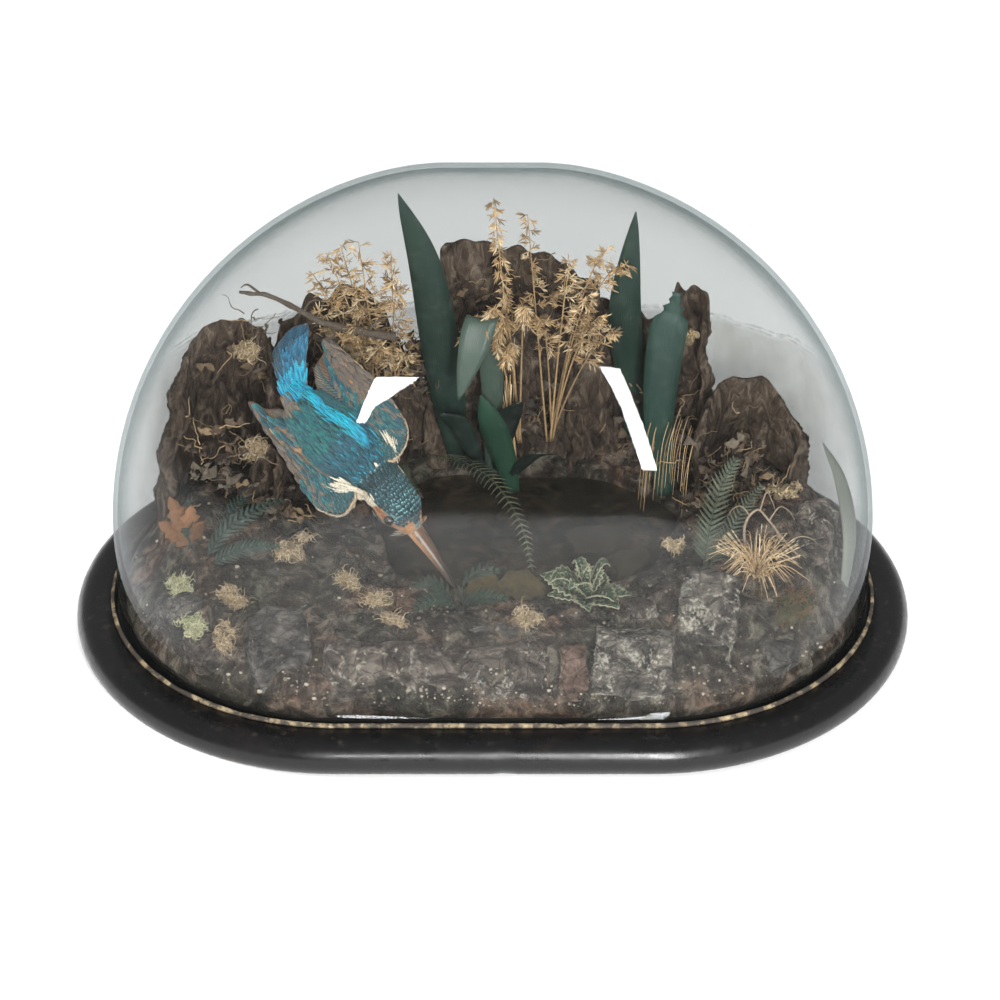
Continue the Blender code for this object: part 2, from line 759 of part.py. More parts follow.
def make_wings():
    """The half-open wings, swept back from rounded wrists."""
    right_leading = ((-66.3, -16.6, 94.5), (-67.2, -22.4, 85.4), (-72.8, -22.5, 76.5),
                     (-82.2, -18.4, 75.1), (-89.7, -13.3, 79.3), (-99.3, -2.0, 89.5),
                     (-110.0, 11.3, 100.9), (-120.9, 25.0, 111.1))
    right_trailing = ((-68.7, -13.2, 101.6), (-71.2, -12.1, 103.2), (-74.6, -10.0, 105.3),
                      (-78.5, -6.5, 108.3), (-82.5, -0.5, 112.0), (-90.5, 6.2, 115.2),
                      (-104.7, 12.7, 112.3), (-117.3, 24.4, 112.0))
    left_leading = ((-55.5, -11.8, 101.9), (-48.7, -11.3, 101.0), (-42.9, -4.9, 104.2),
                    (-41.5, 2.8, 109.9), (-45.9, 9.8, 117.1), (-54.4, 18.2, 124.6),
                    (-67.9, 30.0, 133.6), (-81.5, 41.0, 139.6))
    left_trailing = ((-58.9, -10.0, 106.5), (-60.9, -8.4, 109.0), (-63.8, -6.0, 111.0),
                     (-67.3, -1.8, 113.9), (-73.8, 6.0, 118.3), (-82.8, 14.9, 123.1),
                     (-85.6, 25.9, 129.1), (-84.5, 39.9, 138.0))
    facing = TOWARDS_BACK
    right = make_vane_plate("wing_right", right_leading, right_trailing, (5.5, 1.0), 0.10, 11, facing)
    left = make_vane_plate("wing_left", left_leading, left_trailing, (5.5, 1.0), 0.10, 11, facing)
    return left, right


def make_legs():
    """The small legs, folded against the belly, with three toes ahead and one behind."""
    centre, forward, left, back, _, depth = body_frame(0.30)
    for name, side in (("leg_left", 1.0), ("leg_right", -1.0)):
        root = centre + left * side * 6.0 - back * (1.06 * depth + 1.9)
        stems = []
        for spread in (-0.36, 0.0, 0.36):
            toe = forward * -13.0 + left * spread * 9.0 - back * 3.2
            stems.append((toe, 0.0))
        stems.append((forward * 7.0 - back * 1.0, 0.0))
        make_foot(name, root, stems)


def make_foot(name, root, stems):
    """A folded foot: toes drawn out of one small knuckle."""
    build = bmesh.new()
    bmesh.ops.create_icosphere(build, subdivisions=2, radius=1.9)
    for tip, _ in stems:
        build.faces.ensure_lookup_table()
        wide = [f for f in build.faces if f.calc_area() > 0.3]
        face = max(wide, key=lambda f: f.normal.dot(tip.normalized()))
        origin = face.calc_center_median()
        for along, scale in ((0.5, 0.8), (1.0, 0.55)):
            new = bmesh.ops.extrude_discrete_faces(build, faces=[face])["faces"][0]
            target = origin.lerp(tip, along)
            shift = target - new.calc_center_median()
            for vert in new.verts:
                vert.co = target + (vert.co + shift - target) * scale
            face = new
    build.transform(Matrix.Translation(root))
    return piece_from(name, build, "leg_skin")


def make_bird():
    """The kingfisher, in the lengths that a person would name."""
    trunk = make_body_length("trunk", 0.03, TRUNK_END, 8, True, False)
    neck = make_body_length("neck", TRUNK_END, NECK_END, 3, False, False)
    head = make_body_length("head", NECK_END, 1.0, 5, False, True)
    make_bill()
    make_eyes(head)
    tail = make_tail()
    carve(tail, trunk)
    for wing in make_wings():
        carve(wing, trunk)
        carve(wing, neck)
    make_legs()
    return trunk


# ---------------------------------------------------------------- the case's contents

def make_stones():
    """The stones that face the front bank, and two on the banks."""
    make_rock("slab_left", (-102.0, -84.0, 40.0), (29.0, 22.0, 40.0), 12.0, -24.0, 1)
    make_rock("slab_front", (-27.0, -97.5, 37.0), (112.0, 13.0, 30.0), 0.0, -22.0, 2)
    make_rock("stone_red", (37.5, -98.5, 37.0), (13.0, 13.0, 27.0), 6.0, -20.0, 3)
    make_rock("block_white", (67.0, -94.0, 39.0), (41.0, 17.0, 33.0), -5.0, -25.0, 4)
    make_rock("block_tall", (104.0, -72.0, 45.0), (30.0, 14.0, 56.0), -14.0, -48.0, 5)
    make_rock("stone_small", (72.0, -70.0, 52.0), (17.0, 12.0, 16.0), 15.0, -8.0, 6)
    make_rock("slab_right", (160.0, -6.0, 44.0), (22.0, 40.0, 36.0), -14.0, 9.0, 7)


def make_bark():
    """The cork bark: a hollow arch, a curl, a stump at the back, a post and a curved piece."""
    make_bark_shell("bark_arch", (-132.0, 38.0), (36.0, 34.0), (34.0, 108.0, 140.0, 98.0),
                    (-25.0, 205.0), 0.60, 6.0, 1, (9, 4))
    make_bark_shell("bark_curl", (-112.0, 12.0), (6.0, 6.5), (50.0, 84.0, 92.0, 80.0),
                    (-60.0, 200.0), 0.8, 2.4, 2, (6, 3))
    make_bark_shell("bark_stump", (14.0, 58.0), (60.0, 28.0), (49.0, 148.0, 168.0, 174.0),
                    (34.0, 144.0), 0.80, 7.0, 3, (8, 4))
    make_bark_shell("bark_post", (97.0, 62.0), (12.0, 11.0), (34.0, 134.0, 152.0, 138.0),
                    (-40.0, 220.0), 0.75, 4.0, 4, (6, 3))
    make_bark_shell("bark_right", (131.0, 40.0), (27.0, 25.0), (34.0, 66.0, 102.0, 98.0),
                    (-40.0, 190.0), 0.80, 6.0, 5, (7, 3))


def make_moss():
    """Cushions of moss, and the pale lichen on the banks."""
    ledge = make_lump("ledge_moss", (-22.0, 89.0, 55.0), (25.0, 7.0, 9.0), 0.0, 1, "moss")
    carve(ledge, PARTS.objects["bark_stump"], 0.9)
    make_lump("moss_right", (139.0, -52.0, 46.0), (22.0, 24.0, 8.0), 20.0, 2, "moss")
    lichens = (
        ("lichen_left", (-146.0, -66.0, 40.0), (9.0, 13.0, 6.5), 30.0),
        ("lichen_front", (-127.0, -60.0, 53.0), (8.5, 8.5, 6.0), 0.0),
        ("lichen_bank", (-98.0, -22.0, 57.0), (11.0, 10.0, 6.0), 10.0),
        ("lichen_pond", (-72.0, -44.0, 50.0), (6.0, 6.0, 4.5), 0.0),
        ("lichen_shore", (-52.0, -60.0, 50.0), (10.0, 6.0, 4.5), 20.0),
        ("lichen_centre", (14.0, -74.0, 52.0), (11.0, 7.5, 6.0), -20.0),
        ("lichen_curl", (92.0, -18.0, 54.0), (7.0, 6.0, 7.5), 15.0),
    )
    for seed, (name, centre, radii, turn) in enumerate(lichens, start=3):
        make_lump(name, centre, radii, turn, seed, "lichen")


def make_leaves():
    """Sword leaves, ferns, small leaves and the rosette."""
    wide = (1.0, 0.0, 0.0)
    make_ribbon("blade_left", ((-17.0, 72.0, 44.0), (-24.0, 66.0, 100.0), (-33.0, 54.0, 172.0),
                               (-45.5, 42.0, 220.0)), 11.5, wide, "green_leaf", 8)
    make_ribbon("blade_bent", ((0.0, 64.0, 44.0), (0.0, 61.0, 96.0), (-2.0, 56.0, 136.0),
                               (-5.0, 46.0, 148.0), (-10.0, 38.0, 134.0), (-17.0, 35.0, 107.0)),
                8.0, wide, "green_leaf", 11, 0.0, 0.7)
    make_ribbon("blade_right", ((76.0, 78.0, 44.0), (69.0, 66.0, 110.0), (66.0, 56.0, 150.0),
                                (69.5, 44.0, 209.0)), 8.5, wide, "green_leaf", 8, 0.0, 0.55)
    make_ribbon("blade_torn", ((88.0, 44.0, 44.0), (84.0, 44.0, 92.0), (86.0, 44.0, 132.0),
                               (91.0, 44.0, 164.0)), 9.5, wide, "green_leaf", 7, 0.0, 0.75)
    make_ribbon("blade_low", ((11.0, 56.0, 38.0), (5.0, 54.0, 64.0), (-1.0, 52.0, 84.0),
                              (-6.0, 51.0, 100.0)), 7.0, wide, "green_leaf", 7, 0.0, 0.5)
    make_ribbon("blade_far", ((174.0, -26.0, 30.0), (177.0, -12.0, 58.0), (173.0, 6.0, 78.0),
                              (165.0, 22.0, 90.0)), 4.0, (0.9, 0.4, -0.1), "green_leaf", 8)
    make_ribbon("fern_centre", ((-34.0, 62.0, 57.0), (-18.0, 48.0, 63.0), (0.0, 26.0, 65.0),
                                (14.0, -4.0, 59.0), (20.0, -26.0, 45.0)),
                6.5, (-0.8, -0.6, 0.0), "fern", 16, 0.45, 0.4)
    make_ribbon("fern_left", ((-142.0, -30.0, 52.0), (-132.0, -22.0, 66.0), (-118.0, -12.0, 72.0),
                              (-103.0, 2.0, 70.0)), 7.0, (0.4, -0.65, -0.45), "fern", 12, 0.4, 0.4)
    make_ribbon("fern_right", ((104.0, -30.0, 50.0), (106.0, -22.0, 64.0), (112.0, -6.0, 80.0),
                               (121.0, 6.0, 92.0)), 9.0, wide, "fern", 12, 0.4, 0.5)
    make_ribbon("leaf_spray", ((-16.0, -62.0, 46.0), (-10.0, -66.0, 57.0), (-2.0, -70.0, 61.0),
                               (8.0, -76.0, 63.5)),
                8.0, (-0.25, -0.7, -0.3), "green_leaf", 10, 0.4, 0.5)
    make_ribbon("rust_leaf", ((-150.0, -18.0, 52.0), (-154.0, -16.0, 66.0), (-157.0, -14.0, 74.0),
                              (-159.0, -13.0, 80.0)), 8.5, wide, "rust_leaf", 8, 0.4, 0.5)
    make_rosette("rosette", (47.0, -60.0, 51.5), 23.0, 5, 0.8)


def make_grasses():
    """Dry grass heads, a bundle of straw and the tufts on the right bank."""
    make_tuft("grass_left", (-54.0, 80.0, 52.0), 6.0, (
        ((-34.0, -24.0, 118.0), 8.0), ((-16.0, -26.0, 132.0), 8.0), ((2.0, -34.0, 146.0), 6.0),
        ((14.0, -30.0, 96.0), 10.0), ((-26.0, -26.0, 84.0), 8.0)), "dry_grass")
    make_tuft("grass_centre", (18.0, 72.0, 52.0), 5.0, (
        ((-14.0, -20.0, 152.0), 4.0), ((-26.0, -18.0, 112.0), 22.0),
        ((-2.0, -26.0, 92.0), 26.0)), "dry_grass")
    make_tuft("grass_right", (34.0, 74.0, 52.0), 5.0, (
        ((-11.0, -20.0, 148.0), 0.0), ((4.0, -30.0, 134.0), 10.0), ((24.0, -30.0, 136.0), 20.0),
        ((30.0, -34.0, 92.0), 12.0)), "dry_grass")
    make_rod("straw_bundle", ((12.0, 38.0, 38.0), (11.0, 40.0, 66.0), (9.0, 42.0, 104.0)),
             3.0, "dry_grass", 0.6, 6)
    tuft = make_tuft("grass_tuft", (129.0, -44.0, 59.0), 5.0, (
        ((27.0, -12.0, 8.0), 6.0), ((22.0, -26.0, 4.0), 6.0), ((-20.0, -6.0, 14.0), 5.0),
        ((8.0, 16.0, 22.0), 4.0), ((-6.0, -24.0, 6.0), 5.0)), "dry_grass")
    carve(tuft, PARTS.objects["moss_right"])
    root = make_rod("root_curl", ((126.0, -34.0, 50.0), (123.0, -30.0, 74.0), (129.0, -26.0, 82.0),
                                  (135.0, -28.0, 77.0), (142.0, -32.0, 69.0), (150.0, -38.0, 62.0)),
                    0.7, "dry_grass", 0.8, 10)
    cut_with(root, GROUND_CUTTER)


def make_twig_and_wire():
    """The bare twig over the arch, and the wire that carries the bird."""
    make_rod("twig", ((-124.5, 42.0, 165.0), (-108.0, 43.0, 162.0), (-87.0, 46.0, 147.0),
                      (-66.0, 47.0, 140.0), (-48.0, 48.0, 136.0)), 1.4, "bark", 1.8, 10)
    centre, _, _, back, _, depth = body_frame(0.40)
    start = centre - back * (1.06 * depth + 0.5)
    bends = ((-74.0, 28.0, 82.0), (-78.0, 46.0, 62.0), (-80.0, 50.0, 42.0))
    wire = make_rod("mount_wire", (start, *bends), 0.8, "mount_wire", 1.0, 7)
    cut_with(wire, GROUND_CUTTER)


make_plinth()
make_foot_strip()
make_dome()
make_ground()
GROUND_CUTTER = make_ground_cutter()
GROUND_CUTTER.hide_render = True
make_pane()
make_stones()
make_bark()
make_moss()
make_leaves()
make_grasses()
make_twig_and_wire()
make_bird()
for part in PARTS.objects:
    if any(modifier.type == "BOOLEAN" for modifier in part.modifiers):
        drop_offcuts(part)
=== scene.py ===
"""Looks of a kingfisher that dives at a glass pond, under an oval glass dome on a black plinth.

The frame is loaded first. Every piece is built in metres from lengths named in millimetres.
+X runs along the case, +Y to its back and +Z up.
"""
import logging
import math
import random
from dataclasses import dataclass
from enum import Enum
from typing import Callable, Iterable, Sequence

import bmesh
import bpy
import numpy as np
from mathutils import Matrix, Vector, noise


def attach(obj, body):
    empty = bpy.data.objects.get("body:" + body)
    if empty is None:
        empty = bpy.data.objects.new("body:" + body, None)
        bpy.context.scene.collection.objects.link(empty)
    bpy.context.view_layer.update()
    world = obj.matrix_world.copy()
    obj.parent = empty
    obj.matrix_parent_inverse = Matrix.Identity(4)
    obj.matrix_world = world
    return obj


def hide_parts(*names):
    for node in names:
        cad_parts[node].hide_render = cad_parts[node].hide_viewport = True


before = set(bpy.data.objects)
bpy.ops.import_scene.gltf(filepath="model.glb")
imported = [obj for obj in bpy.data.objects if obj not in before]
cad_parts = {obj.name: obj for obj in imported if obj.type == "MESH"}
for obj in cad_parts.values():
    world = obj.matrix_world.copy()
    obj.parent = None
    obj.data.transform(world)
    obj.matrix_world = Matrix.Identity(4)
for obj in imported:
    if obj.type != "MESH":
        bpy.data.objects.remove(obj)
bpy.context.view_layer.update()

MM = 0.001
LOG = logging.getLogger("kingfisher_case")
Colour = tuple[float, float, float]
Point = tuple[float, float, float]


# ---------------------------------------------------------------- materials

class Graph:
    """Builds the nodes of one material."""

    def __init__(self, name: str) -> None:
        """Start an empty material with an output node."""
        self.material = bpy.data.materials.new(name)
        self.material.use_nodes = True
        self.tree = self.material.node_tree
        self.tree.nodes.clear()
        self.output = self.tree.nodes.new("ShaderNodeOutputMaterial")

    def put(self, node: bpy.types.Node, socket: str | int, value: object) -> None:
        """Link or set one input of a node."""
        target = node.inputs[socket]
        if isinstance(value, bpy.types.NodeSocket):
            self.tree.links.new(value, target)
        elif target.type == "RGBA" and len(value) == 3:
            target.default_value = (*value, 1.0)
        else:
            target.default_value = value

    def place(self, stretch: Point = (1.0, 1.0, 1.0)) -> bpy.types.NodeSocket:
        """Object coordinates, stretched along each axis."""
        source = self.tree.nodes.new("ShaderNodeTexCoord").outputs["Object"]
        if stretch == (1.0, 1.0, 1.0):
            return source
        mapping = self.tree.nodes.new("ShaderNodeMapping")
        self.put(mapping, "Vector", source)
        mapping.inputs["Scale"].default_value = stretch
        return mapping.outputs[0]

    def noise(self, size_mm: float, detail: float = 4.0, rough: float = 0.55,
              stretch: Point = (1.0, 1.0, 1.0), warp: float = 0.0) -> bpy.types.NodeSocket:
        """Smooth noise whose features are about size_mm across.

        Args:
            size_mm: rough size of one blob.
            detail: octaves.
            rough: strength of the fine octaves.
            stretch: scale of the coordinates along each axis.
            warp: distortion.

        Returns:
            The socket of the value, 0 to 1.
        """
        node = self.tree.nodes.new("ShaderNodeTexNoise")
        self.put(node, "Vector", self.place(stretch))
        node.inputs["Scale"].default_value = 1.0 / (size_mm * MM)
        node.inputs["Detail"].default_value = detail
        node.inputs["Roughness"].default_value = rough
        node.inputs["Distortion"].default_value = warp
        return node.outputs[0]

    def cells(self, size_mm: float, feature: str = "DISTANCE_TO_EDGE",
              stretch: Point = (1.0, 1.0, 1.0)) -> bpy.types.NodeSocket:
        """Distance within cells of a size, for cracks and grains."""
        node = self.tree.nodes.new("ShaderNodeTexVoronoi")
        node.feature = feature
        self.put(node, "Vector", self.place(stretch))
        node.inputs["Scale"].default_value = 1.0 / (size_mm * MM)
        return node.outputs["Distance"]

    def axis(self, name: str) -> bpy.types.NodeSocket:
        """One of the object coordinates X, Y or Z, in metres."""
        node = self.tree.nodes.new("ShaderNodeSeparateXYZ")
        self.put(node, 0, self.place())
        return node.outputs[name]

    def attribute(self, name: str, output: str = "Color") -> bpy.types.NodeSocket:
        """A value that the mesh carries at each of its points."""
        node = self.tree.nodes.new("ShaderNodeAttribute")
        node.attribute_name = name
        return node.outputs[output]

    def split(self, vector: bpy.types.NodeSocket, part: str) -> bpy.types.NodeSocket:
        """One part of a vector."""
        node = self.tree.nodes.new("ShaderNodeSeparateXYZ")
        self.put(node, 0, vector)
        return node.outputs[part]

    def calc(self, operation: str, first: object, second: object = 0.0) -> bpy.types.NodeSocket:
        """A sum of two values, held to 0 to 1 only where the operation does so."""
        node = self.tree.nodes.new("ShaderNodeMath")
        node.operation = operation
        self.put(node, 0, first)
        self.put(node, 1, second)
        return node.outputs[0]

    def span(self, value: object, low: float, high: float,
             to_low: float = 0.0, to_high: float = 1.0) -> bpy.types.NodeSocket:
        """Map a value from one range to another, with a smooth step."""
        node = self.tree.nodes.new("ShaderNodeMapRange")
        node.interpolation_type = "SMOOTHSTEP"
        for socket, number in ((0, value), (1, low), (2, high), (3, to_low), (4, to_high)):
            self.put(node, socket, number)
        return node.outputs[0]

    def ramp(self, value: object, stops: Sequence[tuple[float, Colour]]) -> bpy.types.NodeSocket:
        """Colours along a value."""
        node = self.tree.nodes.new("ShaderNodeValToRGB")
        self.put(node, 0, value)
        elements = node.color_ramp.elements
        for index, (place, colour) in enumerate(stops):
            element = elements[index] if index < 2 else elements.new(place)
            element.position = place
            element.color = (*colour, 1.0)
        return node.outputs[0]

    def blend(self, share: object, first: object, second: object, mode: str = "MIX") -> bpy.types.NodeSocket:
        """Mix two colours."""
        node = self.tree.nodes.new("ShaderNodeMix")
        node.data_type = "RGBA"
        node.blend_type = mode
        self.put(node, 0, share)
        self.put(node, 6, first)
        self.put(node, 7, second)
        return node.outputs[2]

    def bump(self, height: object, depth_mm: float, strength: float = 1.0,
             under: bpy.types.NodeSocket | None = None) -> bpy.types.NodeSocket:
        """Bump of a depth, over another bump if one is given."""
        node = self.tree.nodes.new("ShaderNodeBump")
        self.put(node, "Height", height)
        node.inputs["Distance"].default_value = depth_mm * MM
        node.inputs["Strength"].default_value = strength
        if under is not None:
            self.put(node, "Normal", under)
        return node.outputs[0]

    def surface(self, colour: object, rough: object, normal: bpy.types.NodeSocket | None = None,
                **constants: object) -> bpy.types.NodeSocket:
        """A principled surface; constants are set on its own sockets."""
        node = self.tree.nodes.new("ShaderNodeBsdfPrincipled")
        self.put(node, "Base Color", colour)
        self.put(node, "Roughness", rough)
        if normal is not None:
            self.put(node, "Normal", normal)
        for name, value in constants.items():
            self.put(node, name.replace("_", " "), value)
        return node.outputs[0]

    def show(self, shader: bpy.types.NodeSocket) -> bpy.types.Material:
        """Send a shader to the output and give the material."""
        self.tree.links.new(shader, self.output.inputs["Surface"])
        return self.material


@dataclass(frozen=True)
class Finish:
    """A finish with a name; each kind builds its own nodes."""

    name: str

    def make(self) -> bpy.types.Material:
        """The finish's material, built once."""
        found = bpy.data.materials.get(f"finish_{self.name}")
        return found or self.build(Graph(f"finish_{self.name}"))

    def build(self, graph: Graph) -> bpy.types.Material:
        """Build the nodes."""
        raise NotImplementedError


@dataclass(frozen=True)
class EbonisedWood(Finish):
    """Black polish over wood, worn brown along its crown, with fine scratches."""

    name: str = "ebonised_wood"

    def build(self, graph: Graph) -> bpy.types.Material:
        """Build the nodes."""
        wear = graph.span(graph.noise(46.0, 6.0, 0.62, warp=0.6), 0.56, 0.76)
        grain = graph.noise(2.2, 4.0, 0.5, (0.06, 1.0, 1.0))
        low = graph.span(graph.axis("Z"), 0.002, 0.012, 1.0, 0.25)
        rubbed = graph.calc("MULTIPLY", wear, low)
        colour = graph.blend(rubbed, (0.0040, 0.0040, 0.0044), (0.022, 0.014, 0.010))
        dust = graph.span(graph.noise(7.0, 6.0, 0.7), 0.55, 0.8, 0.0, 0.35)
        dust = graph.calc("MULTIPLY", dust, graph.span(graph.axis("Z"), 0.0165, 0.0183))
        colour = graph.blend(dust, colour, (0.10, 0.085, 0.065))
        rough = graph.span(graph.noise(11.0, 7.0, 0.65), 0.3, 0.75, 0.23, 0.42)
        normal = graph.bump(grain, 0.05, 0.5, graph.bump(graph.noise(16.0, 3.0), 0.6, 0.35))
        return graph.show(graph.surface(colour, rough, normal, Coat_Weight=0.12, Coat_Roughness=0.16,
                                        Specular_IOR_Level=0.28))


@dataclass(frozen=True)
class GiltPaper(Finish):
    """Old gilt paper edging, rubbed through to brown and to the black under it."""

    name: str = "gilt_paper"

    def build(self, graph: Graph) -> bpy.types.Material:
        """Build the nodes."""
        lost = graph.span(graph.noise(9.0, 6.0, 0.7), 0.40, 0.54)
        colour = graph.ramp(graph.noise(3.0, 4.0), ((0.3, (0.11, 0.080, 0.045)), (0.7, (0.34, 0.27, 0.165))))
        colour = graph.blend(lost, colour, (0.035, 0.028, 0.022))
        normal = graph.bump(graph.noise(1.2, 4.0), 0.12)
        return graph.show(graph.surface(colour, 0.72, normal))


@dataclass(frozen=True)
class DomeGlass(Finish):
    """Thin blown glass: clear, with dust below an old tide line; painted shade darkens its back half, and its rim is a
    darker green, partly the glass's own tint and partly painted shade.
    """

    name: str = "dome_glass"
    tide_z: float = 0.121

    def build(self, graph: Graph) -> bpy.types.Material:
        """Build the nodes."""
        tree = graph.tree
        weight = tree.nodes.new("ShaderNodeLayerWeight")
        weight.inputs["Blend"].default_value = 0.5
        facing = weight.outputs["Facing"]
        # The rim's darker green is partly the glass seen along its length and partly painted shade for the dark edge
        # that refraction gives.
        rim = graph.span(facing, 0.60, 1.0)
        clear = tree.nodes.new("ShaderNodeBsdfTransparent")
        # Painted shade: the back half lets less light through than the front, so what is seen through it reads greyer.
        side = graph.span(graph.axis("Y"), -0.03, 0.05)
        wall = graph.blend(side, (0.945, 0.952, 0.950), (0.790, 0.802, 0.798))
        graph.put(clear, 0, graph.blend(rim, wall, (0.40, 0.46, 0.45)))
        gloss = tree.nodes.new("ShaderNodeBsdfGlossy")
        gloss.inputs["Roughness"].default_value = 0.02
        graph.put(gloss, 0, (0.95, 0.97, 1.0))
        grazing = graph.calc("ADD", graph.calc("MULTIPLY", graph.calc("POWER", facing, 5.0), 0.38), 0.010)
        mirror = tree.nodes.new("ShaderNodeMixShader")
        graph.put(mirror, 0, grazing)
        graph.put(mirror, 1, clear.outputs[0])
        graph.put(mirror, 2, gloss.outputs[0])
        wander = graph.span(graph.noise(60.0, 3.0, 0.5, (1.0, 1.0, 0.15)), 0.2, 0.8, -0.006, 0.006)
        height = graph.calc("ADD", graph.axis("Z"), wander)
        below = graph.span(height, self.tide_z, self.tide_z - 0.004)
        line = graph.span(graph.calc("ABSOLUTE", graph.calc("SUBTRACT", height, self.tide_z)), 0.0016, 0.0)
        fine = graph.span(graph.noise(5.0, 8.0, 0.7), 0.35, 0.75)
        back = graph.span(graph.axis("Y"), 0.01, 0.07, 0.04, 1.0)
        smear = graph.span(graph.noise(34.0, 5.0, 0.6, (1.0, 1.0, 0.5)), 0.35, 0.7, 0.45, 1.0)
        dust = graph.calc("MULTIPLY", below, graph.calc("MULTIPLY", smear, 0.36))
        dust = graph.calc("ADD", dust, graph.calc("MULTIPLY", line, graph.calc("MULTIPLY", fine, 0.60)))
        dust = graph.calc("ADD", graph.calc("MULTIPLY", dust, back), graph.calc("MULTIPLY", fine, 0.006))
        film = graph.surface((0.33, 0.31, 0.27), 0.9, None, Specular_IOR_Level=0.1)
        whole = tree.nodes.new("ShaderNodeMixShader")
        graph.put(whole, 0, dust)
        graph.put(whole, 1, mirror.outputs[0])
        graph.put(whole, 2, film)
        return graph.show(whole.outputs[0])


@dataclass(frozen=True)
class PondGlass(Finish):
    """A pane of old dark glass, dusty, over painted stones."""

    name: str = "pond_glass"

    def build(self, graph: Graph) -> bpy.types.Material:
        """Build the nodes."""
        tree = graph.tree
        clear = tree.nodes.new("ShaderNodeBsdfTransparent")
        graph.put(clear, 0, (0.78, 0.76, 0.70))
        film = graph.span(graph.noise(26.0, 6.0, 0.65, warp=0.5), 0.3, 0.75, 0.0, 0.24)
        colour = graph.ramp(graph.noise(12.0, 6.0), ((0.3, (0.020, 0.018, 0.014)), (0.75, (0.080, 0.072, 0.056))))
        rough = graph.span(graph.noise(8.0, 5.0, 0.7), 0.3, 0.8, 0.10, 0.42)
        ripple = graph.bump(graph.noise(30.0, 2.0), 0.5, 0.35)
        body = graph.surface(colour, rough, ripple, Specular_IOR_Level=0.15)
        mix = tree.nodes.new("ShaderNodeMixShader")
        graph.put(mix, 0, graph.calc("ADD", film, 0.06))
        graph.put(mix, 1, clear.outputs[0])
        graph.put(mix, 2, body)
        return graph.show(mix.outputs[0])


@dataclass(frozen=True)
class Earth(Finish):
    """Sanded groundwork: painted grey-brown, with pale dust and grit; painted shade darkens the hollows of its relief
    and the pits of its grit, and painted highlight lightens its rises.
    """

    name: str = "earth"
    dark: Colour = (0.013, 0.010, 0.008)
    mid: Colour = (0.052, 0.042, 0.034)
    pale: Colour = (0.185, 0.155, 0.125)

    def build(self, graph: Graph) -> bpy.types.Material:
        """Build the nodes."""
        relief_with_painted_shade = graph.noise(9.0, 9.0, 0.70, warp=0.5)
        grit = graph.cells(1.3, "F1")
        broad = graph.calc("ADD", graph.calc("MULTIPLY", relief_with_painted_shade, 0.72), graph.calc("MULTIPLY", graph.noise(34.0), 0.28))
        # Painted shade and highlight: the colour follows the relief that also drives the bump, dark in its hollows and
        # pale on its rises.
        colour = graph.ramp(broad, ((0.40, self.dark), (0.50, self.mid), (0.60, self.pale)))
        hue = graph.ramp(graph.noise(31.0, 3.0), ((0.36, (0.72, 0.86, 0.74)), (0.5, (1.0, 1.0, 1.0)),
                                                  (0.64, (1.35, 0.92, 0.72))))
        colour = graph.blend(0.7, colour, hue, "MULTIPLY")
        specks = graph.span(graph.noise(1.5, 3.0, 0.8), 0.64, 0.75)
        colour = graph.blend(graph.calc("MULTIPLY", specks, 0.45), colour, (0.42, 0.37, 0.30))
        # Painted shade: darker in the pits of the grit bump.
        colour = graph.blend(graph.span(grit, 0.0, 0.5, 0.5, 0.0), colour, self.dark, "MULTIPLY")
        normal = graph.bump(relief_with_painted_shade, 8.0, 1.0)
        normal = graph.bump(grit, 0.35, 0.7, normal)
        return graph.show(graph.surface(colour, 0.94, normal, Specular_IOR_Level=0.15))


class StoneKind(Enum):
    """The stones' colours: dark, mid and pale tones, then how much crust they carry."""

    GREY = ((0.016, 0.014, 0.013), (0.066, 0.059, 0.054), (0.17, 0.155, 0.14), 0.30)
    BROWN = ((0.015, 0.012, 0.010), (0.068, 0.053, 0.044), (0.185, 0.155, 0.130), 0.55)
    RED = ((0.026, 0.015, 0.011), (0.105, 0.062, 0.045), (0.20, 0.14, 0.11), 0.25)
    CRUSTED = ((0.016, 0.014, 0.013), (0.085, 0.073, 0.062), (0.20, 0.18, 0.15), 0.85)
    SUNK = ((0.050, 0.045, 0.036), (0.15, 0.13, 0.10), (0.24, 0.20, 0.14), 0.0)


@dataclass(frozen=True)
class Stone(Finish):
    """Split stone with layers, cracks and pale lichen crust; painted shade darkens the hollows of its broad bump and
    painted highlight lightens its rises.
    """

    name: str = "stone"
    kind: StoneKind = StoneKind.GREY

    def build(self, graph: Graph) -> bpy.types.Material:
        """Build the nodes."""
        dark, mid, pale, crust = self.kind.value
        broad = graph.noise(12.0, 9.0, 0.7, (1.0, 1.0, 1.5), 0.5)
        # Painted shade and highlight: the tone follows the broad noise that also drives the bump, dark in its hollows
        # and pale on its rises.
        colour = graph.ramp(broad, ((0.38, dark), (0.5, mid), (0.63, pale)))
        crack = graph.span(graph.cells(11.0, stretch=(1.0, 1.0, 1.4)), 0.0, 0.06)
        colour = graph.blend(graph.span(crack, 0.0, 1.0, 0.6, 0.0), colour, dark)
        patch = graph.span(graph.noise(9.0, 7.0, 0.72, warp=1.2), 0.60 - 0.12 * crust, 0.66 - 0.06 * crust)
        fleck = graph.span(graph.noise(1.6, 4.0, 0.7), 0.40, 0.62)
        patch = graph.calc("MULTIPLY", graph.calc("MULTIPLY", patch, fleck), min(0.85, 0.2 + crust))
        tint = graph.ramp(graph.noise(20.0, 2.0), ((0.35, (0.44, 0.43, 0.38)), (0.6, (0.52, 0.47, 0.38))))
        colour = graph.blend(graph.calc("MULTIPLY", patch, 1.0 if crust else 0.0), colour, tint)
        normal = graph.bump(graph.noise(2.4, 6.0, 0.72), 0.8, 0.8, graph.bump(broad, 6.0, 1.0))
        normal = graph.bump(patch, 0.4, 0.6, normal)
        return graph.show(graph.surface(colour, 0.9, normal, Specular_IOR_Level=0.2))


